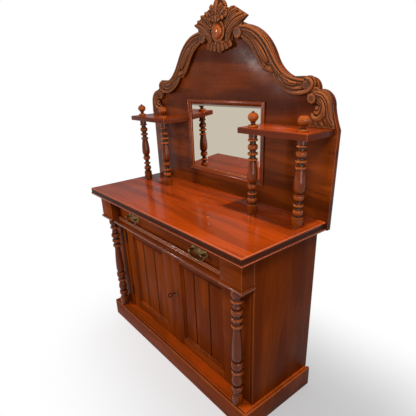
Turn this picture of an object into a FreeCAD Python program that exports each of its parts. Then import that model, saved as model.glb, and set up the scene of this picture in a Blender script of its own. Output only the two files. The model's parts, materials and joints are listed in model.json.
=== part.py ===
import FreeCAD, Part

import math
import os

from FreeCAD import Vector

# A Victorian chiffonier: a low cupboard with one drawer over two panelled doors, turned
# columns at its front corners, and a shaped back with a mirror, two small shelves on turned
# spindles and carved scrolls. Millimetres. X runs to the right, Y to the back, Z up. The
# origin is the middle of the whole piece's footprint, on the floor.

# ---------------------------------------------------------------- driving dimensions

# top board
TOP_WIDTH = 1220.0
TOP_DEPTH = 471.0
TOP_HEIGHT = 857.0          # floor to the upper surface
TOP_THICK = 36.0
TOP_ROUND = 7.0             # rounding of the upper arris
TOP_BEAD = 9.0              # height of the bead along the lower arris
TOP_INSET = 2.5             # how far the edge above the bead is set in
TOP_GROOVE = 1.6            # depth of each fine groove in the edge
TOP_GROOVES = 3

# plinth
PLINTH_WIDTH = 1186.0
PLINTH_DEPTH = 432.0
PLINTH_HEIGHT = 101.0
PLINTH_THICK = 22.0
PLINTH_ARRIS = 3.0
BASE_THICK = 18.0
BASE_REBATE = 8.0

# carcass
CARCASS_WIDTH = 1144.0
CARCASS_DEPTH = 370.0
SIDE_THICK = 18.0
PILASTER_THICK = 20.0
PILASTER_SET = 2.0          # how far a pilaster's edge stands out from its block's
BACK_THICK = 10.0
BACK_COUNT = 6
BACK_CHAMFER = 2.0

# frieze: a block over each column, the drawer between them
BLOCK_WIDTH = 117.0
BLOCK_FRONT = 434.0         # depth of its face from the rear of the carcass
BLOCK_FOOT = 687.5
BLOCK_MOULD_HEIGHT = 10.0
BLOCK_MOULD_OUT = 7.5
RAIL_THICK = 15.0
RAIL_FRONT = 428.0          # depth of the nosing from the rear of the carcass
RAIL_BACK = 320.0
BACK_RAIL_DEPTH = 30.0

# drawer
DRAWER_FACE = 390.0         # depth of its face from the rear of the carcass
DRAWER_FRONT_THICK = 20.0
DRAWER_SIDE_THICK = 12.0
DRAWER_BOTTOM_THICK = 6.0
DRAWER_LENGTH = 338.0       # front to back of the sides, behind the face
DRAWER_LAP = 7.0            # what the lapped dovetails leave in front of the sides
DRAWER_SIDE_HEIGHT = 113.0
DRAWER_GAP = 1.0            # side clearance of the front
DRAWER_LIFT = 2.0           # clearance under the front
DRAWER_GROOVE = 6.0         # from the lower edge of the sides up to the bottom's groove
DRAWER_TONGUE = 6.0         # how far the bottom is let into the front and the sides
DRAWER_SIDE_GAP = 2.0       # how far the sides stand in from the front's ends
DRAWER_HEAD_GAP = 4.0       # clearance over the front
DRAWER_RUN = 0.3            # clearance between the sides and the runners
GUIDE_GAP = 1.0
RAIL_GAP = 4.0              # between the drawer front and the rail behind it
REED_COUNT = 3
REED_HEIGHT = 22.5
REED_OUT = 13.0
TAIL_COUNT = 3
TAIL_SLOPE = 3.0
RUNNER_WIDTH = 42.0
GUIDE_THICK = 14.0
KICKER_THICK = 17.0

# doors
DOOR_FACE = 361.0           # depth of their face from the rear of the carcass
DOOR_THICK = 20.0
DOOR_GAP = 1.5              # clearance round a door
DOOR_LIFT = 2.5             # clearance under a door
MEETING_GAP = 1.0           # half the gap between the two doors
STILE_WIDTH = 72.0
TOP_RAIL_HEIGHT = 72.0
BOTTOM_RAIL_HEIGHT = 46.5
TENON_LENGTH = 42.0
TENON_THICK = 7.0
TENON_SHOULDER = 9.0
PANEL_THICK = 8.0
PANEL_TONGUE = 8.0
PANEL_DEPTH = 9.0           # from the door's face back to the panel
PANEL_BOARDS = 3
PANEL_V = 4.0
SPLAY_WIDTH = 22.0
SPLAY_EDGE = 1.5
SPLAY_QUIRK = 3.0           # height of its step on the panel
SPLAY_STEP = 1.0            # how far that step stands out of the panel

# hinges
HINGE_INSET = 106.0         # from the end of the door to the hinge's middle
HINGE_LENGTH = 64.0
HINGE_WIDTH = 15.0
HINGE_LEAF = 2.0
HINGE_BARREL_R = 4.2
HINGE_PIN_R = 1.5
HINGE_FIT = 0.05
HINGE_BACK = 0.7            # depth of the web behind a knuckle, as a share of its radius
HINGE_PLAY = 0.4
HINGE_PROUD = (0.8, 0.4)    # how far the fixed and the moving leaf stand out of their housings

# lock in the right-hand door
KEYHOLE_X = 25.0
KEYHOLE_Z = 410.0
LOCK_WIDTH = 46.0
LOCK_HEIGHT = 60.0
LOCK_DEPTH = 14.0
LOCK_WALL = 1.6
BOLT_HEIGHT = 11.0
BOLT_THICK = 6.0
BOLT_LENGTH = 38.0
BOLT_RISE = 4.5             # from the key's axis to the bolt's lower edge
BOLT_FIT = 0.5
TALON_HALF = 12.0
TALON_DEPTH = 7.0
KEY_SHANK_R = 2.7
KEY_HOLE_R = 3.4
KEY_BIT = 10.0
KEY_BIT_THICK = 2.2
KEY_OUT = 24.0              # from the door's face to the bow
KEY_BOW_R = 12.5
KEY_BOW_HOLE_R = 8.5
KEY_BOW_THICK = 3.0
KEY_SLOT = 0.8              # clearance of the keyhole's slot beside the bit
PLATE_THICK = 0.9
PLATE_WIDTH = 14.0
PLATE_DROP = 9.0            # from the key's axis down to where the lower end is canted
PLATE_RISE = 3.0            # and up to where the upper end is

# bolt inside the left-hand door
SHOOT_X = 37.0
SHOOT_SQUARE = 7.0
SHOOT_FIT = 0.4
SHOOT_KNOB_R = 4.0
SHOOT_LENGTH = 66.0
SHOOT_THROW = 13.0
SHOOT_CASE_HEIGHT = 44.0
SHOOT_CASE_WIDTH = 15.0
SHOOT_CLEAR = 3.5           # between the bolt's end and the drawer rail
SHOOT_FOOT = 8.0            # how far the bolt stands out below its case
SHOOT_OVER = 1.0            # depth of the rail's mortise beyond the bolt's throw
LOCK_EDGE = 0.5             # from the door's edge to the lock, and from its back to the bolt's case

# drawer handles
HANDLE_X = 279.0
HANDLE_Z = 743.0
HANDLE_PLATE_WIDTH = 112.0
HANDLE_PLATE_HEIGHT = 48.0
HANDLE_PLATE_THICK = 2.0
PLATE_LOW = 4.0             # how far the plate's middle is below the posts
HANDLE_SPREAD = 77.0        # between the two posts
HANDLE_OUT = 19.0           # from the plate to the bail's pivot
HANDLE_DROP = 28.0
POST_SQUARE = 9.0
POST_TIP = 5.0              # from the bail's pivot to the post's end
STUD_SQUARE = 4.0
NUT_SQUARE = 9.0
NUT_THICK = 4.0
BAIL_R = 2.3
BAIL_FIT = 0.05
BAIL_SIDES = 8              # flats of the bail's bar
BAIL_REACH = 51.0           # half width of the bail, along the middle of its bar
BAIL_FOOT = 30.0            # half width of its straight lower part

# columns
COLUMN_IN = 57.0            # from the carcass's side in to the axis
COLUMN_FRONT = 403.0        # depth of the axis from the rear of the carcass
COLUMN_TENON = 14.0
TENON_SQUARE = 12.0         # square tenons at the ends of columns, spindles and finials

# shelf inside the cupboard
INNER_SHELF_Z = 385.0
INNER_SHELF_THICK = 18.0
INNER_SHELF_FRONT = 318.0
BEARER = 18.0

# backboard
BOARD_THICK = 21.0
BOARD_HALF_FOOT = 615.0
BOARD_HALF_SHOULDER = 619.0
BOARD_SHOULDER = 354.5      # above the top, as every height of the back and its carving
BOARD_CREST = 795.0
UPRIGHT_THICK = 15.0
UPRIGHT_WIDTH = 50.0
UPRIGHT_X = 425.0
UPRIGHT_DROP = 321.0        # below the underside of the top
UPRIGHT_RISE = 383.0

# mirror
MIRROR_HALF = 268.0
MIRROR_RISE = 80.0
MIRROR_HEIGHT = 366.0
MIRROR_MOULD = 22.0
MIRROR_OUT = 11.0
MIRROR_LAP = 5.0            # how far the moulding covers the glass
GLASS_THICK = 5.0
GLASS_BEVEL = 11.0
GLASS_EDGE = 3.0
GLASS_GAP = 1.0
GLASS_SET = 0.5             # from the backboard's face back to the glass
MIRROR_BACK_THICK = 5.0
MIRROR_BACK_LAP = 16.0

# side shelves, spindles and finials
SHELF_IN = 270.0
SHELF_OUT = 608.0
SHELF_DEPTH = 163.0
SHELF_RISE = 361.5
SHELF_THICK = 23.0
SHELF_ARRIS = 4.0
SPINDLES = {"outer": (556.0, 118.0), "inner": (324.0, 129.0)}
SPINDLE_TENON = 14.0
FINIAL_HEIGHT = 61.0

# carving
CARVING_OUT = 26.0
CREST_OUT = 30.0
CREST_STEP = 0.8            # how far its lower layer stands out, as a share
LEAF_FOOT = 761.0           # the tall leaf on the crest
LEAF_TIP = 856.0
LEAF_HALF = 46.0
LEAF_SHIFT = 5.0            # how far above its middle it is widest
CABOCHON_RISE = 733.0
CABOCHON_R = 31.0
CABOCHON_DOME = 12.0

# ---------------------------------------------------------------- places worked out from them

REAR = (TOP_DEPTH - BOARD_THICK - UPRIGHT_THICK) / 2     # rear plane of the carcass
TOP_FOOT = TOP_HEIGHT - TOP_THICK
SIDE_IN = CARCASS_WIDTH / 2 - SIDE_THICK
COLUMN_X = CARCASS_WIDTH / 2 - COLUMN_IN
BLOCK_IN = CARCASS_WIDTH / 2 - BLOCK_WIDTH
OPENING = BLOCK_IN + PILASTER_SET                        # half width between the pilasters
RAIL_TOP = BLOCK_FOOT
RAIL_FOOT = RAIL_TOP - RAIL_THICK
DOOR_OUT = OPENING - DOOR_GAP
DOOR_FOOT = PLINTH_HEIGHT + DOOR_LIFT
DOOR_HEAD = RAIL_FOOT - DOOR_GAP
STILE_FACE = DOOR_OUT - STILE_WIDTH                      # inner edge of the hanging stile
MEETING_FACE = MEETING_GAP + STILE_WIDTH                 # inner edge of the meeting stile
PANEL_FOOT = DOOR_FOOT + BOTTOM_RAIL_HEIGHT
PANEL_HEAD = DOOR_HEAD - TOP_RAIL_HEIGHT
HINGE_X = OPENING - HINGE_BARREL_R - HINGE_PLAY
HINGE_Y = REAR - DOOR_FACE - HINGE_BARREL_R - HINGE_PLAY
DRAWER_HALF = BLOCK_IN - DRAWER_GAP
DRAWER_FOOT = RAIL_TOP + DRAWER_LIFT
DRAWER_HEAD = TOP_FOOT - DRAWER_HEAD_GAP
DRAWER_SIDE_OUT = DRAWER_HALF - DRAWER_SIDE_GAP
DRAWER_SIDE_FOOT = RAIL_TOP + DRAWER_RUN
DRAWER_BACK_OF_FRONT = REAR - DRAWER_FACE + DRAWER_FRONT_THICK
TOP_RAIL_FRONT = DRAWER_BACK_OF_FRONT + RAIL_GAP
UPRIGHT_FOOT = TOP_FOOT - UPRIGHT_DROP
UPRIGHT_HEAD = TOP_HEIGHT + UPRIGHT_RISE
MIRROR_FOOT = TOP_HEIGHT + MIRROR_RISE
MIRROR_HEAD = MIRROR_FOOT + MIRROR_HEIGHT
SHELF_TOP = TOP_HEIGHT + SHELF_RISE
LOCK_SIDE = MEETING_GAP + LOCK_EDGE                      # X of the lock's edge, and of its bolt's end


def back_from_rear(depth):
    """Y of a plane that stands this far in front of the carcass's rear."""
    return REAR - depth


# ---------------------------------------------------------------- drawing aids

MITRED = 1                  # the corner style of a swept bar


def across(u, v):
    """A point of a section that is extruded along X: u is Y and v is Z."""
    return Vector(0, u, v)


def upright(u, v):
    """A point of an outline seen from the front: u is X and v is Z."""
    return Vector(u, 0, v)


def raised(u, v):
    """A point of an outline seen from the front, v above the top board."""
    return Vector(u, 0, TOP_HEIGHT + v)


def plan(u, v):
    """A point of an outline seen from above: u is X and v is Y."""
    return Vector(u, v, 0)


def outline(place, start, *steps):
    """Closed face. A step of one point is a straight line, a step of two is an arc through the first."""
    edges = []
    here = place(*start)
    for step in steps + (start,):
        if isinstance(step[0], tuple):
            through, there = [place(*point) for point in step]
            edges.append(Part.Arc(here, through, there).toShape())
        else:
            there = place(*step)
            if not here.isEqual(there, 1e-6):
                edges.append(Part.LineSegment(here, there).toShape())
        here = there
    return Part.Face(Part.Wire(edges))


def bar(x, y, z):
    """Rectangular piece between the two values of each pair."""
    return Part.makeBox(x[1] - x[0], y[1] - y[0], z[1] - z[0], Vector(x[0], y[0], z[0]))


def rod(radius, foot, way, length):
    """Round piece from a point along a direction."""
    return Part.makeCylinder(radius, length, foot, way)


def mirrored(shape):
    """The same piece on the other side of the middle."""
    return shape.mirror(Vector(0, 0, 0), Vector(1, 0, 0))


def pair(shape):
    """A piece and its mirror image, as two solids."""
    return Part.makeCompound([shape, mirrored(shape)])


def sided(shape, side):
    """The right-hand piece as it is, or its mirror image for the left."""
    return shape if side == "right" else mirrored(shape)


def mitred(width, height, section, middle):
    """Four mitred strips round a rectangle seen from the front; v of their section runs inwards."""
    strips = []
    for turn in (0, 90, 180, 270):
        length, other = (width, height) if turn % 180 == 0 else (height, width)
        strip = section.extrude(Vector(length, 0, 0))
        strip.translate(Vector(-length / 2, 0, -other / 2))
        reach = min(length, other) / 2
        depth = strip.BoundBox
        wedge = outline(upright, (-length / 2, -other / 2), (length / 2, -other / 2),
                        (length / 2 - reach, -other / 2 + reach), (-length / 2 + reach, -other / 2 + reach))
        wedge.translate(Vector(0, depth.YMin, 0))
        strip = strip.common(wedge.extrude(Vector(0, depth.YLength, 0)))
        strip.rotate(Vector(0, 0, 0), Vector(0, 1, 0), turn)
        strips.append(strip)
    frame = Part.makeCompound(strips)
    frame.translate(middle)
    return frame


# ---------------------------------------------------------------- turning

# A turned piece is a list of members from its foot up. Each has a share of the height, the
# radius at its upper end and, where its side is hollow or swelled, the radius half way up.
# A member of no height is a flat shoulder.

COLUMN = [
    (0, 24.0), (51, 24.0), (0, 19.0), (19, 19.0),        # foot and neck
    (0, 24.8), (26, 24.8), (0, 17.0),                    # bead
    (29, 24.6), (39, 15.5),                              # ball that draws in
    (0, 24.0), (17, 24.0), (0, 18.0), (10, 18.0),        # ring and groove
    (0, 25.6), (36, 25.6), (0, 19.0),                    # broad bead
    (18, 23.0), (134, 15.2, 18.3),                       # long vase
    (0, 23.8), (17, 23.8), (0, 17.6), (44, 17.6),        # ring and neck
    (0, 24.6), (25, 24.6), (0, 18.0), (32, 18.0),        # bead and long neck
    (0, 24.4), (56, 24.4),                               # head
]

SPINDLE = [
    (0, 21.5), (46, 21.5), (0, 12.2), (60, 12.2),        # foot and neck
    (30, 21.4), (133, 14.0, 16.6),                       # vase
    (0, 19.0), (69, 19.0),                               # head
]

FINIAL = [
    (0, 19.5), (9, 19.5), (0, 8.0),                      # disc
    (26, 20.6), (26, 2.5),                               # ball and tip
]


def turned(members, height):
    """Solid of revolution about Z, its foot at the origin."""
    share = height / sum(member[0] for member in members)
    steps = []
    z = 0.0
    for tall, end, *swell in members:
        top = z + tall * share
        steps.append(((swell[0], (z + top) / 2), (end, top)) if swell else (end, top))
        z = top
    return outline(upright, (0, 0), *steps, (0, z)).revolve(Vector(0, 0, 0), Vector(0, 0, 1), 360)


def tenon(x, depth, z, reach, width=TENON_SQUARE):
    """Square tenon, or the mortise for it, on the axis of a turned piece: up and down from z."""
    y = back_from_rear(depth)
    return bar((x - width / 2, x + width / 2), (y - width / 2, y + width / 2), (z + reach[0], z + reach[1]))


def tenoned(members, x, depth, foot, head, reach):
    """A turned piece between two heights, with a square tenon at each end."""
    shape = turned(members, head - foot)
    shape.translate(Vector(x, back_from_rear(depth), foot))
    return shape.fuse([tenon(x, depth, foot, (-reach, 0)), tenon(x, depth, head, (0, reach))])


# ---------------------------------------------------------------- base and carcass

def plinth_frame():
    """Mitred front and returns with a back board, rebated inside for the base board."""
    half = PLINTH_WIDTH / 2
    front = back_from_rear(PLINTH_DEPTH)
    inside = half - PLINTH_THICK
    ledge = PLINTH_HEIGHT - BASE_THICK
    section = outline(across, (0, 0), (0, PLINTH_HEIGHT - PLINTH_ARRIS), (PLINTH_ARRIS, PLINTH_HEIGHT),
                      (PLINTH_THICK - BASE_REBATE, PLINTH_HEIGHT), (PLINTH_THICK - BASE_REBATE, ledge),
                      (PLINTH_THICK, ledge), (PLINTH_THICK, 0))
    face = section.extrude(Vector(PLINTH_WIDTH, 0, 0))
    face.translate(Vector(-half, front, 0))
    mitre = outline(plan, (-half, front), (half, front), (inside, front + PLINTH_THICK),
                    (-inside, front + PLINTH_THICK))
    face = face.common(mitre.extrude(Vector(0, 0, PLINTH_HEIGHT)))
    turn = section.extrude(Vector(PLINTH_DEPTH, 0, 0))
    turn.rotate(Vector(0, 0, 0), Vector(0, 0, 1), 90)
    turn.translate(Vector(half, front, 0))
    mitre = outline(plan, (half, front), (half, REAR), (inside, REAR), (inside, front + PLINTH_THICK))
    turn = turn.common(mitre.extrude(Vector(0, 0, PLINTH_HEIGHT)))
    back = bar((-inside, inside), (REAR - PLINTH_THICK, REAR), (0, PLINTH_HEIGHT)).cut(base_blank())
    return Part.makeCompound([face, turn, mirrored(turn), back])


def base_blank():
    """The base board before it is bored."""
    inset = PLINTH_THICK - BASE_REBATE
    half = PLINTH_WIDTH / 2 - inset
    return bar((-half, half), (back_from_rear(PLINTH_DEPTH) + inset, REAR - inset),
               (PLINTH_HEIGHT - BASE_THICK, PLINTH_HEIGHT))


def base_board():
    """Cupboard floor, let into the plinth, mortised for the columns' tenons."""
    return base_blank().cut(pair(column_mortise(PLINTH_HEIGHT, -COLUMN_TENON)))


def column_mortise(z, reach):
    """Mortise for the tenon at one end of the right-hand column."""
    return tenon(COLUMN_X, COLUMN_FRONT, z, (min(0, reach), max(0, reach)))


def side():
    """Right-hand side board."""
    return bar((SIDE_IN, CARCASS_WIDTH / 2), (back_from_rear(CARCASS_DEPTH), REAR), (PLINTH_HEIGHT, TOP_FOOT))


def pilasters():
    """Boards behind the columns, housed for the hinge leaves."""
    front = back_from_rear(CARCASS_DEPTH)
    board = bar((OPENING, SIDE_IN), (front, front + PILASTER_THICK), (PLINTH_HEIGHT, TOP_FOOT))
    for z in hinge_heights():
        board = board.cut(hinge_leaf_fixed_blank(z))
    return pair(board)


def back_boards():
    """Upright boards between the sides, with chamfered joints."""
    wide = 2 * SIDE_IN / BACK_COUNT
    boards = []
    for n in range(BACK_COUNT):
        left = -SIDE_IN + n * wide
        shape = outline(plan, (left, REAR - BACK_THICK), (left, REAR - BACK_CHAMFER),
                        (left + BACK_CHAMFER, REAR), (left + wide - BACK_CHAMFER, REAR),
                        (left + wide, REAR - BACK_CHAMFER), (left + wide, REAR - BACK_THICK))
        shape = shape.extrude(Vector(0, 0, TOP_FOOT - PLINTH_HEIGHT))
        shape.translate(Vector(0, 0, PLINTH_HEIGHT))
        boards.append(shape)
    return Part.makeCompound(boards)


def inner_shelf():
    """Shelf across the cupboard."""
    return bar((-SIDE_IN, SIDE_IN), (back_from_rear(INNER_SHELF_FRONT), REAR - BACK_THICK),
               (INNER_SHELF_Z, INNER_SHELF_Z + INNER_SHELF_THICK))


def shelf_bearers():
    """Bearers under the shelf, one on each side, with a splayed front end."""
    front = back_from_rear(INNER_SHELF_FRONT)
    shape = outline(across, (front, INNER_SHELF_Z), (REAR - BACK_THICK, INNER_SHELF_Z),
                    (REAR - BACK_THICK, INNER_SHELF_Z - BEARER), (front + BEARER / 2, INNER_SHELF_Z - BEARER))
    shape = shape.extrude(Vector(BEARER, 0, 0))
    shape.translate(Vector(SIDE_IN - BEARER, 0, 0))
    return pair(shape)


def frieze_blocks():
    """Blocks over the columns, mortised for the columns' tenons."""
    block = bar((BLOCK_IN, CARCASS_WIDTH / 2), (back_from_rear(BLOCK_FRONT), back_from_rear(CARCASS_DEPTH)),
                (BLOCK_FOOT, TOP_FOOT))
    return pair(block.cut(column_mortise(BLOCK_FOOT, COLUMN_TENON)))


def block_mouldings():
    """Ovolo round the foot of each block, mitred at the corner."""
    out = BLOCK_MOULD_OUT
    flat = BLOCK_MOULD_HEIGHT - out
    bend = out * math.sqrt(0.5)
    section = outline(across, (0, 0), (-out, 0), (-out, flat),
                      ((-bend, flat + bend), (0, BLOCK_MOULD_HEIGHT)))
    edge = CARCASS_WIDTH / 2
    front = back_from_rear(BLOCK_FRONT)
    rear = back_from_rear(CARCASS_DEPTH)
    face = section.extrude(Vector(BLOCK_WIDTH + out, 0, 0))
    face.translate(Vector(BLOCK_IN, front, BLOCK_FOOT))
    wedge = outline(plan, (BLOCK_IN, front - out), (edge + out, front - out), (edge, front),
                    (BLOCK_IN, front)).extrude(Vector(0, 0, TOP_HEIGHT))
    turn = section.extrude(Vector(BLOCK_FRONT - CARCASS_DEPTH + out, 0, 0))
    turn.rotate(Vector(0, 0, 0), Vector(0, 0, 1), 90)
    turn.translate(Vector(edge, front - out, BLOCK_FOOT))
    corner = outline(plan, (edge + out, front - out), (edge + out, rear), (edge, rear), (edge, front))
    corner = corner.extrude(Vector(0, 0, TOP_HEIGHT))
    strips = [face.common(wedge), turn.common(corner)]
    return Part.makeCompound(strips + [mirrored(strip) for strip in strips])


def drawer_rail():
    """Rail under the drawer with a half-round nosing, bored for the door bolt."""
    nose = RAIL_THICK / 2
    front = back_from_rear(RAIL_FRONT)
    shape = outline(across, (front + nose, RAIL_FOOT), ((front, RAIL_FOOT + nose), (front + nose, RAIL_TOP)),
                    (back_from_rear(RAIL_BACK), RAIL_TOP), (back_from_rear(RAIL_BACK), RAIL_FOOT))
    shape = shape.extrude(Vector(2 * OPENING, 0, 0))
    shape.translate(Vector(-OPENING, 0, 0))
    ends = bar((BLOCK_IN, OPENING), (front, back_from_rear(CARCASS_DEPTH)), (RAIL_FOOT, RAIL_TOP))
    shape = shape.cut(pair(ends))
    return shape.cut(shoot(SHOOT_FIT * 2, RAIL_FOOT, shoot_head() + SHOOT_THROW + SHOOT_OVER))


def carcass_rails():
    """Front top rail, rear top rail and rear drawer rail."""
    rear = (REAR - BACK_THICK - BACK_RAIL_DEPTH, REAR - BACK_THICK)
    front = (TOP_RAIL_FRONT, TOP_RAIL_FRONT + BACK_RAIL_DEPTH)
    return Part.makeCompound([
        bar((-OPENING, OPENING), front, (TOP_FOOT - RAIL_THICK, TOP_FOOT)),
        bar((-SIDE_IN, SIDE_IN), rear, (TOP_FOOT - RAIL_THICK, TOP_FOOT)),
        bar((-SIDE_IN, SIDE_IN), rear, (RAIL_FOOT, RAIL_TOP)),
    ])


def drawer_runners():
    """Runners with a guide worked on them, and the kickers over the drawer's sides."""
    y = (back_from_rear(RAIL_BACK), REAR - BACK_THICK - BACK_RAIL_DEPTH)
    guide = DRAWER_SIDE_OUT + GUIDE_GAP
    outer = guide + GUIDE_THICK
    inner = outer - RUNNER_WIDTH
    section = outline(upright, (inner, RAIL_FOOT), (outer, RAIL_FOOT), (outer, RAIL_TOP + GUIDE_THICK),
                      (guide, RAIL_TOP + GUIDE_THICK), (guide, RAIL_TOP), (inner, RAIL_TOP))
    runner = section.extrude(Vector(0, y[1] - y[0], 0))
    runner.translate(Vector(0, y[0], 0))
    kicker = bar((inner, outer), (TOP_RAIL_FRONT + BACK_RAIL_DEPTH, y[1]),
                 (TOP_FOOT - KICKER_THICK, TOP_FOOT))
    return Part.makeCompound([runner, mirrored(runner), kicker, mirrored(kicker)])


def moulded(length, place):
    """Section of the top board with its moulded edge at u = 0: a bead, a grooved flat and a round arris."""
    bend = TOP_ROUND * (1 - math.sqrt(0.5))
    bead = TOP_FOOT + TOP_BEAD
    pitch = (TOP_HEIGHT - TOP_ROUND - bead) / (TOP_GROOVES + 1)
    steps = [((0, TOP_FOOT + TOP_BEAD / 2), (TOP_INSET, bead))]
    for n in range(TOP_GROOVES):
        middle = bead + pitch * (n + 1)
        steps.append((TOP_INSET, middle - TOP_GROOVE))
        steps.append((TOP_INSET + TOP_GROOVE, middle))
        steps.append((TOP_INSET, middle + TOP_GROOVE))
    steps += [(TOP_INSET, TOP_HEIGHT - TOP_ROUND),
              ((TOP_INSET + bend, TOP_HEIGHT - bend), (TOP_INSET + TOP_ROUND, TOP_HEIGHT)),
              (length, TOP_HEIGHT), (length, TOP_FOOT)]
    return outline(place, (TOP_INSET, TOP_FOOT), *steps)


def top_board():
    """Top with its edge moulding run round the front and both ends."""
    front = back_from_rear(TOP_DEPTH)
    half = TOP_WIDTH / 2
    along = moulded(TOP_DEPTH, lambda u, v: Vector(-half, front + u, v)).extrude(Vector(TOP_WIDTH, 0, 0))
    over = moulded(TOP_WIDTH, lambda u, v: Vector(half - u, front, v)).extrude(Vector(0, TOP_DEPTH, 0))
    board = along.common(over).common(mirrored(over))
    for x, depth in SPINDLES.values():
        board = board.cut(pair(tenon(x, depth, TOP_HEIGHT, (-SPINDLE_TENON, 0))))
    return board


def column():
    """Right-hand column between the ledge and its block."""
    return tenoned(COLUMN, COLUMN_X, COLUMN_FRONT, PLINTH_HEIGHT, BLOCK_FOOT, COLUMN_TENON)


# ---------------------------------------------------------------- doors

def door_stiles():
    """Hanging and meeting stile of the right-hand door, mortised and grooved, housed for hinges."""
    y = (back_from_rear(DOOR_FACE), back_from_rear(DOOR_FACE) + DOOR_THICK)
    hanging = bar((STILE_FACE, DOOR_OUT), y, (DOOR_FOOT, DOOR_HEAD))
    meeting = bar((MEETING_GAP, MEETING_FACE), y, (DOOR_FOOT, DOOR_HEAD))
    rails = Part.makeCompound([rail_with_tenons("foot"), rail_with_tenons("head")])
    stiles = []
    for stile in (hanging, meeting):
        stiles.append(stile.cut(rails).cut(panel_blank()))
    for z in hinge_heights():
        stiles[0] = stiles[0].cut(hinge_leaf_door_blank(z))
    return stiles


def rail_with_tenons(end):
    """Lower or upper rail of the right-hand door."""
    y = back_from_rear(DOOR_FACE)
    low, high = (DOOR_FOOT, PANEL_FOOT) if end == "foot" else (PANEL_HEAD, DOOR_HEAD)
    shape = bar((MEETING_FACE, STILE_FACE), (y, y + DOOR_THICK), (low, high))
    mid = y + PANEL_DEPTH + PANEL_THICK / 2
    tenon = bar((MEETING_FACE - TENON_LENGTH, STILE_FACE + TENON_LENGTH),
                (mid - TENON_THICK / 2, mid + TENON_THICK / 2), (low + TENON_SHOULDER, high - TENON_SHOULDER))
    return shape.fuse(tenon).removeSplitter()


def panel_blank():
    """The space that the panel takes, with its tongue all round."""
    y = back_from_rear(DOOR_FACE) + PANEL_DEPTH
    return bar((MEETING_FACE - PANEL_TONGUE, STILE_FACE + PANEL_TONGUE), (y, y + PANEL_THICK),
               (PANEL_FOOT - PANEL_TONGUE, PANEL_HEAD + PANEL_TONGUE))


def door_rails():
    """Both rails of the right-hand door, grooved for the panel."""
    return [rail_with_tenons(end).cut(panel_blank()) for end in ("foot", "head")]


def door_panel():
    """Upright boards of the right-hand door's panel, with V joints on the face."""
    left = MEETING_FACE - PANEL_TONGUE
    wide = (STILE_FACE + PANEL_TONGUE - left) / PANEL_BOARDS
    y = back_from_rear(DOOR_FACE) + PANEL_DEPTH
    boards = []
    for n in range(PANEL_BOARDS):
        a = left + n * wide
        b = a + wide
        start = PANEL_V if n > 0 else 0.0
        stop = PANEL_V if n < PANEL_BOARDS - 1 else 0.0
        steps = [(b, y + PANEL_THICK), (b, y + stop), (b - stop, y), (a + start, y), (a, y + start)]
        shape = outline(plan, (a, y + PANEL_THICK), *steps)
        shape = shape.extrude(Vector(0, 0, PANEL_HEAD - PANEL_FOOT + 2 * PANEL_TONGUE))
        shape.translate(Vector(0, 0, PANEL_FOOT - PANEL_TONGUE))
        boards.append(shape)
    return boards


def door_moulding():
    """Splayed moulding round the right-hand door's panel, mitred."""
    section = outline(across, (-PANEL_DEPTH, 0), (0, 0), (0, SPLAY_WIDTH), (-SPLAY_EDGE, SPLAY_WIDTH),
                      (SPLAY_STEP - PANEL_DEPTH, SPLAY_QUIRK), (-PANEL_DEPTH, SPLAY_QUIRK))
    width = STILE_FACE - MEETING_FACE
    height = PANEL_HEAD - PANEL_FOOT
    middle = Vector((STILE_FACE + MEETING_FACE) / 2, back_from_rear(DOOR_FACE) + PANEL_DEPTH,
                    (PANEL_FOOT + PANEL_HEAD) / 2)
    return mitred(width, height, section, middle).Solids


def hinge_heights():
    """Middle of each hinge."""
    return (DOOR_FOOT + HINGE_INSET, DOOR_HEAD - HINGE_INSET)


def hinge_leaf_blank(x, z):
    """Plate of a hinge leaf between two X values, from the barrel back into the wood."""
    half = HINGE_LENGTH / 2
    return bar(x, (HINGE_Y, back_from_rear(DOOR_FACE) + HINGE_WIDTH), (z - half, z + half))


def hinge_leaf_fixed_blank(z):
    """Plate let into the pilaster's edge."""
    face = OPENING - HINGE_PROUD[0]
    return hinge_leaf_blank((face, face + HINGE_LEAF), z)


def hinge_leaf_door_blank(z):
    """Plate let into the door's edge."""
    face = DOOR_OUT + HINGE_PROUD[1]
    return hinge_leaf_blank((face - HINGE_LEAF, face), z)


def hinge_leaf(z, moving):
    """One leaf: the fixed one has the lower knuckle and the pin, the door's has the bored upper knuckle."""
    low = z - HINGE_LENGTH / 2
    half = (HINGE_LENGTH - HINGE_PLAY) / 2
    start, stop = (low + HINGE_LENGTH - half, low + HINGE_LENGTH) if moving else (low, low + half)
    plate = hinge_leaf_door_blank(z) if moving else hinge_leaf_fixed_blank(z)
    edge = plate.BoundBox
    reach = HINGE_BARREL_R + HINGE_PLAY
    clear = bar((HINGE_X - reach, HINGE_X + reach + HINGE_LEAF), (HINGE_Y - reach, HINGE_Y + reach),
                (low, low + HINGE_LENGTH))
    barrel = rod(HINGE_BARREL_R, Vector(HINGE_X, HINGE_Y, start), Vector(0, 0, 1), stop - start)
    web = bar((HINGE_X, edge.XMax), (HINGE_Y, HINGE_Y + HINGE_BARREL_R * HINGE_BACK), (start, stop))
    neck = bar((edge.XMin, edge.XMax), (HINGE_Y, HINGE_Y + reach), (start, stop))
    shape = plate.cut(clear).fuse([barrel, web, neck]).removeSplitter()
    if moving:
        return shape.cut(hinge_pin(z, HINGE_PIN_R + HINGE_FIT))
    return shape.fuse(hinge_pin(z, HINGE_PIN_R)).removeSplitter()


def hinge_pin(z, radius):
    """The pin, or the bore for it, over the full length of the hinge."""
    return rod(radius, Vector(HINGE_X, HINGE_Y, z - HINGE_LENGTH / 2), Vector(0, 0, 1), HINGE_LENGTH)


def hinge_leaves_fixed():
    """Leaves let into the pilasters."""
    leaves = [hinge_leaf(z, False) for z in hinge_heights()]
    return Part.makeCompound(leaves + [mirrored(leaf) for leaf in leaves])


def hinge_leaves_door():
    """Leaves let into the right-hand door."""
    return [hinge_leaf(z, True) for z in hinge_heights()]


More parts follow.
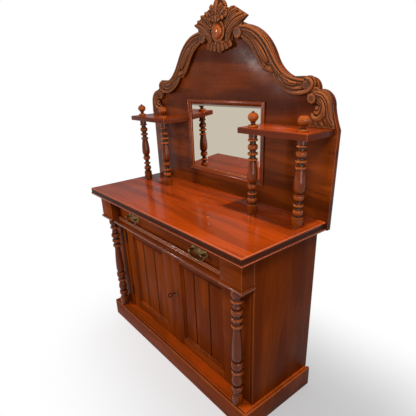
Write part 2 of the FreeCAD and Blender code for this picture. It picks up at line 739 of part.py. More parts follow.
# ---------------------------------------------------------------- lock and key

def keyhole(y, length):
    """Round hole with a slot below it for the bit, along Y."""
    hole = rod(KEY_HOLE_R, Vector(KEYHOLE_X, y, KEYHOLE_Z), Vector(0, 1, 0), length)
    half = KEY_BIT_THICK / 2 + KEY_SLOT
    low = KEYHOLE_Z - KEY_BIT - KEY_SLOT
    return hole.fuse(bar((KEYHOLE_X - half, KEYHOLE_X + half), (y, y + length), (low, KEYHOLE_Z)))


def door_back():
    """Y of the doors' inner face."""
    return back_from_rear(DOOR_FACE) + DOOR_THICK


def lock_case():
    """Lock case on the inner face of the right-hand door, hollow for the bolt and the key's bit."""
    y = door_back()
    box = []
    for wall in (0.0, LOCK_WALL):
        half = LOCK_HEIGHT / 2 - wall
        box.append(bar((LOCK_SIDE + wall, LOCK_SIDE + LOCK_WIDTH - wall), (y + wall, y + LOCK_DEPTH - wall),
                       (KEYHOLE_Z - half, KEYHOLE_Z + half)))
    return box[0].cut([box[1], bolt_blank(BOLT_FIT / 2), keyhole(y, LOCK_WALL)])


def bolt_blank(grow):
    """The bolt's bar, with an allowance all round for its slot."""
    middle = bolt_y()
    low = KEYHOLE_Z + BOLT_RISE
    return bar((LOCK_SIDE - grow * 2, LOCK_SIDE + BOLT_LENGTH + grow),
               (middle - BOLT_THICK / 2 - grow, middle + BOLT_THICK / 2 + grow),
               (low - grow, low + BOLT_HEIGHT + grow))


def bolt_y():
    """Y of the middle of the bolt's thickness, close behind the lock's front plate."""
    return door_back() + LOCK_WALL + BOLT_FIT + BOLT_THICK / 2


def lock_bolt():
    """Bolt with a talon notch over the key."""
    low = KEYHOLE_Z + BOLT_RISE
    notch = bar((KEYHOLE_X - TALON_HALF, KEYHOLE_X + TALON_HALF),
                (bolt_y() - BOLT_THICK, bolt_y() + BOLT_THICK), (low, low + TALON_DEPTH))
    return bolt_blank(0.0).cut(notch)


def key():
    """Key with a flat ring bow and one bit, standing in the lock."""
    y = back_from_rear(DOOR_FACE)
    tip = door_back() + LOCK_DEPTH - LOCK_WALL - BOLT_FIT
    centre = Vector(KEYHOLE_X - KEY_BOW_THICK / 2, y - KEY_OUT - KEY_BOW_R, KEYHOLE_Z)
    along = Vector(1, 0, 0)
    bow = rod(KEY_BOW_R, centre, along, KEY_BOW_THICK).cut(rod(KEY_BOW_HOLE_R, centre, along, KEY_BOW_THICK))
    neck = y - KEY_OUT - (KEY_BOW_R - KEY_BOW_HOLE_R) / 2
    shank = rod(KEY_SHANK_R, Vector(KEYHOLE_X, neck, KEYHOLE_Z), Vector(0, 1, 0), tip - neck)
    bit = bar((KEYHOLE_X - KEY_BIT_THICK / 2, KEYHOLE_X + KEY_BIT_THICK / 2),
              (bolt_y() - BOLT_THICK / 2, bolt_y() + BOLT_THICK / 2), (KEYHOLE_Z - KEY_BIT, KEYHOLE_Z))
    return shank.fuse([bow, bit]).removeSplitter()


def escutcheon():
    """Thin brass plate round the keyhole, with canted ends."""
    y = back_from_rear(DOOR_FACE)
    half = PLATE_WIDTH / 2
    low = KEYHOLE_Z - PLATE_DROP
    high = KEYHOLE_Z + PLATE_RISE
    plate = outline(upright, (KEYHOLE_X - half, low), (KEYHOLE_X, low - half), (KEYHOLE_X + half, low),
                    (KEYHOLE_X + half, high), (KEYHOLE_X, high + half), (KEYHOLE_X - half, high))
    plate = plate.extrude(Vector(0, PLATE_THICK, 0))
    plate.translate(Vector(0, y - PLATE_THICK, 0))
    return plate.cut(keyhole(y - PLATE_THICK, PLATE_THICK))


def shoot_y():
    """Y of the axis of the left-hand door's bolt."""
    return door_back() + SHOOT_CASE_WIDTH / 2 + LOCK_EDGE


def shoot_head():
    """Upper end of that bolt when it is drawn."""
    return RAIL_FOOT - SHOOT_CLEAR


def shoot(grow, low, high):
    """The square of that bolt between two heights, with an allowance all round."""
    half = SHOOT_SQUARE / 2 + grow
    return bar((-SHOOT_X - half, -SHOOT_X + half), (shoot_y() - half, shoot_y() + half), (low, high))


def shoot_case_foot():
    """Lower end of the bolt's case."""
    return shoot_head() - SHOOT_LENGTH + SHOOT_FOOT


def knob_z():
    """Height of the bolt's knob when it is drawn."""
    return shoot_case_foot() + 2 * SHOOT_KNOB_R


def door_bolt():
    """Square bolt with a turned knob, which shoots up into the drawer rail."""
    knob = rod(SHOOT_KNOB_R, Vector(-SHOOT_X, shoot_y(), knob_z()), Vector(0, 1, 0), SHOOT_CASE_WIDTH)
    return shoot(0.0, shoot_head() - SHOOT_LENGTH, shoot_head()).fuse(knob)


def door_bolt_case():
    """Case of that bolt on the inner face of the door, with a channel and a slot for the knob."""
    low = shoot_case_foot()
    y = door_back()
    half = SHOOT_CASE_WIDTH / 2
    slot = SHOOT_KNOB_R + SHOOT_FIT
    case = bar((-SHOOT_X - half, -SHOOT_X + half), (y, y + SHOOT_CASE_WIDTH), (low, low + SHOOT_CASE_HEIGHT))
    case = case.cut(shoot(SHOOT_FIT, low, low + SHOOT_CASE_HEIGHT))
    return case.cut(bar((-SHOOT_X - slot, -SHOOT_X + slot), (shoot_y(), y + SHOOT_CASE_WIDTH),
                        (knob_z() - slot, knob_z() + slot + SHOOT_THROW)))


# ---------------------------------------------------------------- drawer

def drawer_front():
    """Drawer front with lapped sockets for the sides' tails and a groove for the bottom."""
    y = back_from_rear(DRAWER_FACE)
    front = bar((-DRAWER_HALF, DRAWER_HALF), (y, DRAWER_BACK_OF_FRONT), (DRAWER_FOOT, DRAWER_HEAD))
    front = front.cut(pair(drawer_side())).cut(drawer_bottom())
    for x in post_places():
        front = front.cut(stud(x, y, DRAWER_BACK_OF_FRONT))
    return front


def drawer_moulding():
    """Reeds along the foot of the drawer front."""
    y = back_from_rear(DRAWER_FACE)
    tall = REED_HEIGHT / REED_COUNT
    root = y - REED_OUT + tall / 2
    steps = []
    for n in range(REED_COUNT):
        low = DRAWER_FOOT + n * tall
        steps.append(((root - tall / 2, low + tall / 2), (root, low + tall)))
    steps.append((y, DRAWER_FOOT + REED_HEIGHT))
    steps.append((y, DRAWER_FOOT))
    shape = outline(across, (root, DRAWER_FOOT), *steps).extrude(Vector(2 * DRAWER_HALF, 0, 0))
    shape.translate(Vector(-DRAWER_HALF, 0, 0))
    return shape


def pins(y, length, low, high):
    """What is cut away between the tails at one end of a side, from their root at y to the board's end."""
    span = (high - low) / TAIL_COUNT
    half = span / 6
    gaps = []
    for n in range(TAIL_COUNT + 1):
        middle = low + n * span
        shape = outline(across, (y, middle - half - TAIL_SLOPE), (y + length, middle - half),
                        (y + length, middle + half), (y, middle + half + TAIL_SLOPE))
        shape = shape.extrude(Vector(DRAWER_SIDE_THICK, 0, 0))
        shape.translate(Vector(DRAWER_SIDE_OUT - DRAWER_SIDE_THICK, 0, 0))
        gaps.append(shape)
    return gaps


def drawer_side():
    """Right-hand side: dovetails at both ends and a groove for the bottom."""
    lap = DRAWER_FRONT_THICK - DRAWER_LAP
    rear = DRAWER_BACK_OF_FRONT + DRAWER_LENGTH
    head = DRAWER_SIDE_FOOT + DRAWER_SIDE_HEIGHT
    board = bar((DRAWER_SIDE_OUT - DRAWER_SIDE_THICK, DRAWER_SIDE_OUT), (DRAWER_BACK_OF_FRONT - lap, rear),
                (DRAWER_SIDE_FOOT, head))
    gaps = pins(DRAWER_BACK_OF_FRONT, -lap, DRAWER_SIDE_FOOT, head)
    gaps += pins(rear - DRAWER_SIDE_THICK, DRAWER_SIDE_THICK, drawer_back_foot(), head)
    return board.cut(gaps).cut(drawer_bottom())


def drawer_back_foot():
    """Height of the lower edge of the drawer's back, which stands on the bottom."""
    return DRAWER_SIDE_FOOT + DRAWER_GROOVE + DRAWER_BOTTOM_THICK


def drawer_back():
    """Back board, standing on the bottom, pinned between the sides' tails."""
    rear = DRAWER_BACK_OF_FRONT + DRAWER_LENGTH
    board = bar((-DRAWER_SIDE_OUT, DRAWER_SIDE_OUT), (rear - DRAWER_SIDE_THICK, rear),
                (drawer_back_foot(), DRAWER_SIDE_FOOT + DRAWER_SIDE_HEIGHT))
    return board.cut(pair(drawer_side()))


def drawer_box():
    """Both sides and the back."""
    return Part.makeCompound(pair(drawer_side()).Solids + drawer_back().Solids)


def drawer_bottom():
    """Bottom board, in grooves in the front and sides, running out under the back."""
    low = DRAWER_SIDE_FOOT + DRAWER_GROOVE
    half = DRAWER_SIDE_OUT - DRAWER_SIDE_THICK + DRAWER_TONGUE
    rear = DRAWER_BACK_OF_FRONT + DRAWER_LENGTH - DRAWER_SIDE_GAP
    return bar((-half, half), (DRAWER_BACK_OF_FRONT - DRAWER_TONGUE, rear), (low, low + DRAWER_BOTTOM_THICK))


def post_places():
    """X of every handle post."""
    return [side * HANDLE_X + end * HANDLE_SPREAD / 2 for side in (-1, 1) for end in (-1, 1)]


def handle_plates():
    """Shaped back plates of the two handles."""
    y = back_from_rear(DRAWER_FACE)
    wide = HANDLE_PLATE_WIDTH / 2
    low = HANDLE_Z - PLATE_LOW - HANDLE_PLATE_HEIGHT / 2
    at = HANDLE_PLATE_HEIGHT / 10
    wing = outline(upright, (0, low), (wide * 0.5, low + at), (wide * 0.8, low + 3 * at),
                   ((wide, low + 6 * at), (wide * 0.7, low + 9 * at)),
                   (wide * 0.3, low + 8 * at), (0, low + 10 * at)).extrude(Vector(0, HANDLE_PLATE_THICK, 0))
    plate = wing.fuse(mirrored(wing)).removeSplitter()
    plate.translate(Vector(HANDLE_X, y - HANDLE_PLATE_THICK, 0))
    for x in post_places():
        plate = plate.cut(stud(x, y - HANDLE_PLATE_THICK, y))
    return pair(plate)


def stud(x, start, stop):
    """Square stud of a handle post between two Y values."""
    return bar((x - STUD_SQUARE / 2, x + STUD_SQUARE / 2), (start, stop),
               (HANDLE_Z - STUD_SQUARE / 2, HANDLE_Z + STUD_SQUARE / 2))


def handle_posts():
    """Square posts bored across for the bail, each with a stud through the drawer front and a nut on it."""
    plate = back_from_rear(DRAWER_FACE) - HANDLE_PLATE_THICK
    tip = bail_pivot_y() - POST_TIP
    inside = DRAWER_BACK_OF_FRONT
    posts = []
    for x in post_places():
        parts = []
        for wide, y in ((POST_SQUARE, (tip, plate)), (NUT_SQUARE, (inside, inside + NUT_THICK))):
            parts.append(bar((x - wide / 2, x + wide / 2), y, (HANDLE_Z - wide / 2, HANDLE_Z + wide / 2)))
        start = Vector(x - POST_SQUARE / 2, bail_pivot_y(), HANDLE_Z)
        eye = rod(BAIL_R + BAIL_FIT, start, Vector(1, 0, 0), POST_SQUARE)
        posts.append(stud(x, plate, inside).fuse(parts).cut(eye))
    return Part.makeCompound(posts)


def bail_pivot_y():
    """Y of the bails' pivot axis."""
    return back_from_rear(DRAWER_FACE) - HANDLE_PLATE_THICK - HANDLE_OUT


def bail():
    """Right-hand bail: a bar of eight flats from post to post, bent down and across below them."""
    inner = (HANDLE_SPREAD - POST_SQUARE) / 2
    arm = [(inner, HANDLE_Z), (BAIL_REACH, HANDLE_Z), (BAIL_FOOT, HANDLE_Z - HANDLE_DROP)]
    bends = [Vector(-x, 0, z) for x, z in arm] + [Vector(x, 0, z) for x, z in reversed(arm)]
    corners = []
    for n in range(BAIL_SIDES + 1):
        turn = 2 * math.pi * (n + 0.5) / BAIL_SIDES
        corners.append(bends[0] + Vector(0, BAIL_R * math.cos(turn), BAIL_R * math.sin(turn)))
    shape = Part.makePolygon(bends).makePipeShell([Part.makePolygon(corners)], True, False, MITRED)
    shape.translate(Vector(HANDLE_X, bail_pivot_y(), 0))
    return shape


# ---------------------------------------------------------------- back, mirror and shelves

def board_flank():
    """Outline steps of the backboard's right flank, from the shoulder up to the crest."""
    return [
        ((603, 393), (592, 433)),                        # hollow over the shoulder
        ((575, 476), (527, 495)),                        # round behind the corner scroll
        ((508, 529), (462, 531)),                        # round behind the scroll's lower end
        ((385, 548), (315, 623)),                        # hollow half of the ogee
        ((245, 705), (150, 745)),                        # round half of the ogee
        ((90, 768), (0, BOARD_CREST)),                   # rise to the middle
    ]


def backboard():
    """Shaped board behind the top, open where the mirror is."""
    steps = [(BOARD_HALF_FOOT, -TOP_THICK), (BOARD_HALF_SHOULDER, BOARD_SHOULDER)] + board_flank()
    half = outline(raised, (0, -TOP_THICK), *steps).extrude(Vector(0, BOARD_THICK, 0))
    board = half.fuse(mirrored(half)).removeSplitter()
    board.translate(Vector(0, REAR, 0))
    return board.cut(glass_opening())


def glass_opening():
    """Hole in the backboard for the glass."""
    inset = MIRROR_MOULD - MIRROR_LAP
    half = MIRROR_HALF - inset
    return bar((-half, half), (REAR, REAR + BOARD_THICK), (MIRROR_FOOT + inset, MIRROR_HEAD - inset))


def back_uprights():
    """Posts behind the backboard, thicker below it where they meet the carcass."""
    section = outline(across, (REAR, UPRIGHT_FOOT), (REAR + BOARD_THICK + UPRIGHT_THICK, UPRIGHT_FOOT),
                      (REAR + BOARD_THICK + UPRIGHT_THICK, UPRIGHT_HEAD - UPRIGHT_THICK),
                      (REAR + BOARD_THICK, UPRIGHT_HEAD), (REAR + BOARD_THICK, TOP_FOOT), (REAR, TOP_FOOT))
    shape = section.extrude(Vector(UPRIGHT_WIDTH, 0, 0))
    shape.translate(Vector(UPRIGHT_X - UPRIGHT_WIDTH / 2, 0, 0))
    return pair(shape)


def mirror_frame():
    """Rounded moulding round the glass, mitred."""
    wide = MIRROR_MOULD
    out = MIRROR_OUT
    section = outline(across, (0, 0), (-out * 0.5, 0), ((-out, wide * 0.35), (-out * 0.72, wide * 0.7)),
                      (-out * 0.3, wide), (0, wide))
    middle = Vector(0, REAR, (MIRROR_FOOT + MIRROR_HEAD) / 2)
    return mitred(2 * MIRROR_HALF, MIRROR_HEAD - MIRROR_FOOT, section, middle)


def mirror_glass():
    """Plate with a bevel round its face."""
    hole = glass_opening().BoundBox
    front = REAR + GLASS_SET
    rear = front + GLASS_THICK
    gap = GLASS_GAP
    low = (hole.XMin + gap, hole.ZMin + gap)
    high = (hole.XMax - gap, hole.ZMax - gap)
    body = bar((low[0], high[0]), (front + GLASS_THICK - GLASS_EDGE, rear), (low[1], high[1]))
    rings = []
    for y, inset in ((front, GLASS_BEVEL), (front + GLASS_THICK - GLASS_EDGE, 0.0)):
        corners = [Vector(low[0] + inset, y, low[1] + inset), Vector(high[0] - inset, y, low[1] + inset),
                   Vector(high[0] - inset, y, high[1] - inset), Vector(low[0] + inset, y, high[1] - inset)]
        rings.append(Part.makePolygon(corners + corners[:1]))
    return body.fuse(Part.makeLoft(rings, True, True)).removeSplitter()


def mirror_back():
    """Backing board nailed over the opening, its raised field against the glass."""
    hole = glass_opening().BoundBox
    rear = REAR + BOARD_THICK
    layers = ((MIRROR_BACK_LAP, (rear, rear + MIRROR_BACK_THICK)),
              (-GLASS_GAP, (REAR + GLASS_SET + GLASS_THICK, rear)))
    panel, field = [bar((hole.XMin - grow, hole.XMax + grow), y, (hole.ZMin - grow, hole.ZMax + grow))
                    for grow, y in layers]
    return panel.fuse(field).removeSplitter()


def side_shelf():
    """Right-hand shelf with a softened front and ends, bored for the spindles' pins."""
    low = SHELF_TOP - SHELF_THICK
    front = back_from_rear(SHELF_DEPTH)
    a = SHELF_ARRIS
    bend = a * (1 - math.sqrt(0.5))
    deep = outline(across, (REAR, low), (REAR, SHELF_TOP), (front + a, SHELF_TOP),
                   ((front + bend, SHELF_TOP - bend), (front, SHELF_TOP - a)), (front, low))
    deep = deep.extrude(Vector(SHELF_OUT - SHELF_IN, 0, 0))
    deep.translate(Vector(SHELF_IN, 0, 0))
    wide = outline(upright, (SHELF_IN, low), (SHELF_IN, SHELF_TOP - a),
                   ((SHELF_IN + bend, SHELF_TOP - bend), (SHELF_IN + a, SHELF_TOP)),
                   (SHELF_OUT - a, SHELF_TOP),
                   ((SHELF_OUT - bend, SHELF_TOP - bend), (SHELF_OUT, SHELF_TOP - a)),
                   (SHELF_OUT, low))
    wide = wide.extrude(Vector(0, SHELF_DEPTH, 0))
    wide.translate(Vector(0, front, 0))
    shelf = deep.common(wide)
    for x, depth in SPINDLES.values():
        shelf = shelf.cut(tenon(x, depth, low, (0, SHELF_THICK)))
    return shelf


def spindles():
    """Four spindles between the top and the shelves."""
    pieces = [tenoned(SPINDLE, x, depth, TOP_HEIGHT, SHELF_TOP - SHELF_THICK, SPINDLE_TENON)
              for x, depth in SPINDLES.values()]
    return Part.makeCompound(pieces + [mirrored(piece) for piece in pieces])


def finials():
    """Finials over the four spindles, tenoned into the shelves."""
    pieces = []
    for x, depth in SPINDLES.values():
        shape = turned(FINIAL, FINIAL_HEIGHT)
        shape.translate(Vector(x, back_from_rear(depth), SHELF_TOP))
        shape = shape.fuse(tenon(x, depth, SHELF_TOP, (SPINDLE_TENON - SHELF_THICK, 0)))
        pieces += [shape, mirrored(shape)]
    return Part.makeCompound(pieces)


# ---------------------------------------------------------------- carving

def relief(face, out):
    """A carved layer: an outline seen from the front, standing out from the backboard."""
    shape = face.extrude(Vector(0, out, 0))
    shape.translate(Vector(0, REAR - out, 0))
    return shape


def leaf(foot, tip, half):
    """Outline of an upright leaf on the middle line, pointed at both ends."""
    wide = (foot + tip) / 2 + LEAF_SHIFT
    return outline(raised, (0, foot), ((half, wide), (0, tip)), ((-half, wide), (0, foot)))


def scroll():
    """Right-hand acanthus scroll: a ribbon along the ogee between two volutes."""
    return relief(outline(
        raised, (150, 745),
        ((245, 705), (315, 623)),
        ((385, 548), (462, 531)),
        ((514, 523), (505, 488)),
        (440, 483), (335, 543), (285, 561),
        ((250, 623), (175, 679)),
        (130, 703),
    ), CARVING_OUT)


def corner_scroll():
    """Right-hand corner carving: a C-scroll over a fan that spreads to the shoulder."""
    shape = relief(outline(
        raised, (611, SHELF_RISE),
        ((600, 393), (592, 433)),
        ((577, 475), (536, 492)),
        ((490, 491), (490, 455)),
        (540, 441), (540, 417), (505, 393), (500, SHELF_RISE),
    ), CARVING_OUT)
    return shape.cut(scroll())


def crest():
    """Cartouche: a tall leaf over a plaque with leaves at its sides and a frill below, and a round boss."""
    low = relief(outline(
        raised, (0, 647), (30, 657),
        ((66, 673), (84, 721)),
        (172, 773), (86, 819), (46, 807), (-46, 807), (-86, 819), (-172, 773), (-84, 721),
        ((-66, 673), (-30, 657)),
    ), CREST_OUT * CREST_STEP)
    tall = relief(leaf(LEAF_FOOT, LEAF_TIP, LEAF_HALF), CREST_OUT)
    middle = Vector(0, REAR, TOP_HEIGHT + CABOCHON_RISE)
    boss = rod(CABOCHON_R, middle, Vector(0, -1, 0), CREST_OUT + CABOCHON_DOME)
    return low.fuse([tall, boss]).removeSplitter()


# ---------------------------------------------------------------- the pieces by name

def pieces():
    """Every node of the chiffonier and its shape."""
    named = {
        "plinth_frame": plinth_frame(),
        "base_board": base_board(),
        "pilasters": pilasters(),
        "back_boards": back_boards(),
        "inner_shelf": inner_shelf(),
        "shelf_bearers": shelf_bearers(),
        "frieze_blocks": frieze_blocks(),
        "block_mouldings": block_mouldings(),
        "drawer_rail": drawer_rail(),
        "carcass_rails": carcass_rails(),
        "drawer_runners": drawer_runners(),
        "top_board": top_board(),
        "hinge_leaves_fixed": hinge_leaves_fixed(),
        "lock_case": lock_case(),
        "lock_bolt": lock_bolt(),
        "key": key(),
        "escutcheon": escutcheon(),
        "door_bolt": door_bolt(),
        "door_bolt_case": door_bolt_case(),
        "drawer_front": drawer_front(),
        "drawer_moulding": drawer_moulding(),
        "drawer_box": drawer_box(),
        "drawer_bottom": drawer_bottom(),
        "handle_plates": handle_plates(),
        "handle_posts": handle_posts(),
        "backboard": backboard(),
        "back_uprights": back_uprights(),
        "mirror_frame": mirror_frame(),
        "mirror_glass": mirror_glass(),
        "mirror_back": mirror_back(),
        "spindles": spindles(),
        "finials": finials(),
        "crest": crest(),
    }
    stiles = door_stiles()
    locked = [stile.cut(keyhole(back_from_rear(DOOR_FACE), DOOR_THICK)) for stile in stiles]
    doors = {"stiles": stiles, "rails": door_rails(), "panel": door_panel(), "moulding": door_moulding(),
             "hinge_leaves": hinge_leaves_door()}
    singles = {"side": side(), "column": column(), "side_shelf": side_shelf(), "scroll": scroll(),
               "corner_scroll": corner_scroll(), "bail": bail()}
    for side_name in ("left", "right"):
        for part, solids in doors.items():
            own = locked if (part, side_name) == ("stiles", "right") else solids
            named["door_" + side_name + "_" + part] = Part.makeCompound([sided(s, side_name) for s in own])
        for part, shape in singles.items():
            named[part + "_" + side_name] = sided(shape, side_name)
    return named


os.makedirs("parts", exist_ok=True)
for name, shape in pieces().items():
    shape.exportStep("parts/" + name + ".step")
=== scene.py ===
"""Looks of a Victorian chiffonier: polished cedar boards, turned columns and spindles, carving and old brass.

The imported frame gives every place. Lengths are metres, X runs to the right, Y to the back and Z up; the
tables of turned members are in millimetres.
"""

import json
import math

import bmesh
import bpy
import numpy as np
from mathutils import Matrix, Vector

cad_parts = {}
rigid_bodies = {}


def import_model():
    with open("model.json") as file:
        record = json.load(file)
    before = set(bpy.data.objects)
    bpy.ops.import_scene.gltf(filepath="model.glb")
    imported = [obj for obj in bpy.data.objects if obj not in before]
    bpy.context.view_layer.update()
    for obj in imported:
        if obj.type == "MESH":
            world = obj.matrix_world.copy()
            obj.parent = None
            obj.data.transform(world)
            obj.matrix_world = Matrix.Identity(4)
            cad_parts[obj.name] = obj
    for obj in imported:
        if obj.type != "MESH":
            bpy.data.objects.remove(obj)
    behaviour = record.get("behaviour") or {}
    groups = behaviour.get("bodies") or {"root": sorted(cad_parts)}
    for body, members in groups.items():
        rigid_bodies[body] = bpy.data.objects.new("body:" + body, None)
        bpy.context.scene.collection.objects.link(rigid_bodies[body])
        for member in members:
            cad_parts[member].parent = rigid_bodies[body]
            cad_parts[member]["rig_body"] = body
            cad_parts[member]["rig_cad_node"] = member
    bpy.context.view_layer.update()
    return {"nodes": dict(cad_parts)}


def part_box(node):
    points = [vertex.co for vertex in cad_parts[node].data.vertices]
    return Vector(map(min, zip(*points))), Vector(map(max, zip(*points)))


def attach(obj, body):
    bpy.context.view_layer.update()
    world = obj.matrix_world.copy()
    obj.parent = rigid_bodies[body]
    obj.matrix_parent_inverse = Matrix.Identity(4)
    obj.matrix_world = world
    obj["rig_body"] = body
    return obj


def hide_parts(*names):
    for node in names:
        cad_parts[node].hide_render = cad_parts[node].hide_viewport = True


bl_info = {
    "name": "Chiffonier",
    "version": (1, 0, 0),
    "blender": (4, 5, 0),
    "location": "View3D > Sidebar > Chiffonier",
    "description": "Polished cedar chiffonier with turned columns, carving and a mirror back",
    "category": "Add Mesh",
}

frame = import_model()

MM = 0.001

# places read from the frame
BOARD_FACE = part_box("backboard")[0].y
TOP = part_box("top_board")[1].z
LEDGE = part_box("plinth_frame")[1].z
SHELF_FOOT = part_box("side_shelf_right")[0].z
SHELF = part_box("side_shelf_right")[1].z
COLUMN_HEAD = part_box("frieze_blocks")[0].z

# axes of the spindles: half the distance across, and distance in front of the backboard
SPINDLE_PLACES = ((556 * MM, 118 * MM), (324 * MM, 129 * MM))
COLUMN_PLACE = (515 * MM, 403 * MM)

# ---------------------------------------------------------------- turned members
# (kind, height, radius): "round" swells to the radius and comes back, "swell" is a curved taper whose
# fourth value is how far it bulges, the others end at the radius.

COLUMN = [
    ("straight", 0, 24.6), ("straight", 44, 25.0), ("straight", 0.5, 22.5), ("round", 6, 24.8),
    ("straight", 0.5, 20.5), ("swell", 17, 19.5, -1.2), ("straight", 0.5, 21.0), ("round", 28, 25.2),
    ("straight", 0.5, 18.0), ("straight", 4, 17.6), ("swell", 24, 24.6, 1.5), ("swell", 34, 16.0, 1.6),
    ("straight", 5, 15.6), ("straight", 0, 20.0), ("round", 17, 24.8), ("straight", 0, 18.0),
    ("swell", 11, 18.0, -0.8), ("straight", 0, 21.0), ("round", 37, 26.2), ("straight", 0, 19.0),
    ("straight", 6, 19.4), ("swell", 16, 23.4, 0.8), ("swell", 130, 15.6, 1.6), ("straight", 17, 15.2),
    ("straight", 0, 20.0), ("round", 16, 24.0), ("straight", 0, 17.4), ("swell", 15, 17.4, -0.8),
    ("straight", 0, 20.0), ("round", 18, 24.0), ("straight", 0, 17.4), ("swell", 12, 17.6, -0.8),
    ("straight", 0, 19.5), ("round", 25, 25.0), ("straight", 0, 16.4), ("straight", 4, 16.6),
    ("round", 10, 18.6), ("swell", 17, 18.6, -2.0), ("straight", 0, 20.5), ("round", 14, 24.8),
    ("straight", 0, 19.0), ("swell", 14, 19.8, -1.0), ("straight", 0, 21.5), ("round", 26, 24.8),
    ("straight", 0, 20.2), ("straight", 17, 20.6),
]

SPINDLE = [
    ("straight", 0, 21.6), ("straight", 32, 22.0), ("straight", 1, 20.2), ("straight", 2, 20.2),
    ("round", 5, 21.8), ("straight", 1, 17.0), ("swell", 7, 15.0, -1.5), ("round", 24, 20.8),
    ("straight", 0.5, 11.8), ("swell", 10, 11.8, -0.6), ("straight", 0, 15.5), ("round", 10, 19.8),
    ("straight", 0, 11.6), ("swell", 14, 11.6, -0.6), ("round", 27, 20.4), ("straight", 0, 13.6),
    ("swell", 20, 22.0, 2.0), ("swell", 70, 15.2, 2.2), ("straight", 2, 15.0), ("straight", 0, 17.5),
    ("round", 11, 21.2), ("straight", 0, 13.2), ("swell", 13, 13.2, -0.7), ("straight", 0, 17.5),
    ("round", 11, 21.6), ("straight", 0, 13.2), ("swell", 8, 13.2, -0.7), ("round", 25, 20.8),
    ("straight", 0, 13.2), ("swell", 11, 13.2, -0.7), ("straight", 0, 17.0), ("round", 9, 20.8),
    ("straight", 0, 16.0), ("straight", 3, 16.0), ("straight", 0, 17.2), ("straight", 19, 17.4),
]

FINIAL = [
    ("straight", 0, 19.0), ("round", 9, 20.4), ("straight", 0, 14.0), ("swell", 8, 8.2, -2.4),
    ("straight", 0, 10.5), ("round", 3, 11.5), ("straight", 0, 8.0), ("swell", 7, 17.0, 1.5),
    ("swell", 10.5, 21.6, 1.2), ("straight", 0.8, 20.9), ("swell", 10.5, 16.8, 1.4), ("swell", 6.4, 6.0, 1.9),
    ("straight", 0, 4.6), ("round", 4, 5.4), ("straight", 0.8, 0.6),
]


# ---------------------------------------------------------------- carved members
# Every rib is a list of stations (across, above the top, radius, out): out is how far the middle of the
# rib stands in front of the backboard. A vein is a list of points (across, above the top) for the gouge.
# Millimetres, right-hand side.

SCROLL = [
    # the band along the edge
    [(124, 730, 9, 12), (163, 726, 12, 14), (198, 713, 14, 15), (236, 690, 15, 16), (273, 654, 15, 16),
     (303, 611, 15, 16), (335, 570, 14, 16), (375, 537, 13, 16), (420, 522, 11, 15), (466, 518, 9, 14)],
    [(128, 739, 5, 17), (165, 735, 6, 19), (202, 724, 6, 20), (244, 701, 6, 20), (284, 663, 6, 20),
     (314, 620, 6, 20), (345, 579, 6, 20), (383, 546, 6, 20), (425, 531, 5, 19), (470, 526, 5, 17)],
    # the broad second band, which ends in a notch and a turned tip
    [(150, 714, 8, 11), (200, 692, 13, 14), (232, 664, 17, 17), (262, 628, 19, 19), (284, 604, 15, 19), (290, 597, 8, 17)],
    [(276, 580, 9, 12), (296, 573, 12, 17), (314, 568, 11, 18), (322, 560, 6, 14)],
    # the inner leaf and the lobes along its edge
    [(140, 703, 9, 10), (186, 680, 12, 12), (220, 645, 14, 13), (246, 608, 14, 13), (268, 580, 12, 12), (288, 566, 8, 11)],
    [(196, 664, 9, 8), (212, 650, 11, 10), (221, 637, 7, 8)],
    [(218, 642, 9, 8), (230, 626, 11, 10), (237, 613, 7, 8)],
    [(234, 618, 9, 8), (245, 601, 11, 10), (252, 589, 7, 8)],
    [(250, 594, 9, 8), (263, 579, 11, 10), (272, 569, 7, 8)],
    [(268, 576, 9, 8), (286, 563, 11, 10), (300, 555, 7, 8)],
    # the tongue of the lower leaf, with its hook
    [(338, 570, 6, 13), (354, 555, 10, 16), (378, 536, 13, 19), (404, 520, 13, 20), (430, 516, 10, 18), (446, 525, 6, 14)],
    # the body and the edge below it, which wind into the volute
    [(322, 566, 8, 11), (344, 538, 13, 13), (374, 513, 15, 14), (412, 498, 14, 14), (448, 500, 12, 14), (470, 510, 8, 13)],
    [(310, 562, 6, 10), (332, 532, 8, 13), (364, 505, 8, 15), (400, 488, 8, 16), (436, 482, 8, 17), (472, 484, 8, 18),
     (498, 494, 8, 18), (508, 512, 8, 18), (498, 529, 8, 17), (478, 533, 7, 15)],
    # bosses of the two volutes
    [(118, 717, 27, 2), (118, 717, 27, 17), (118, 717, 20, 20)],
    [(481, 510, 20, 4), (481, 510, 20, 16), (481, 510, 14, 19)],
]
SCROLL_VEINS = [
    [(150, 732), (200, 718), (240, 694), (279, 655), (310, 611), (342, 571), (380, 540), (424, 525), (462, 521)],
    [(165, 719), (206, 703), (240, 676), (276, 637), (303, 596), (330, 568), (368, 536), (400, 526)],
    [(190, 697), (226, 668), (252, 634), (276, 602)],
    [(150, 704), (196, 684), (230, 648), (258, 612), (280, 588), (300, 577)],
    [(150, 696), (186, 673), (214, 645), (232, 620)],
    [(216, 654), (236, 628), (250, 604), (266, 586), (288, 574)],
    [(342, 560), (366, 535), (396, 514), (426, 506), (452, 508)],
    [(336, 548), (362, 520), (396, 501), (430, 493), (462, 494)],
    [(356, 552), (382, 531), (408, 517), (430, 514)],
]

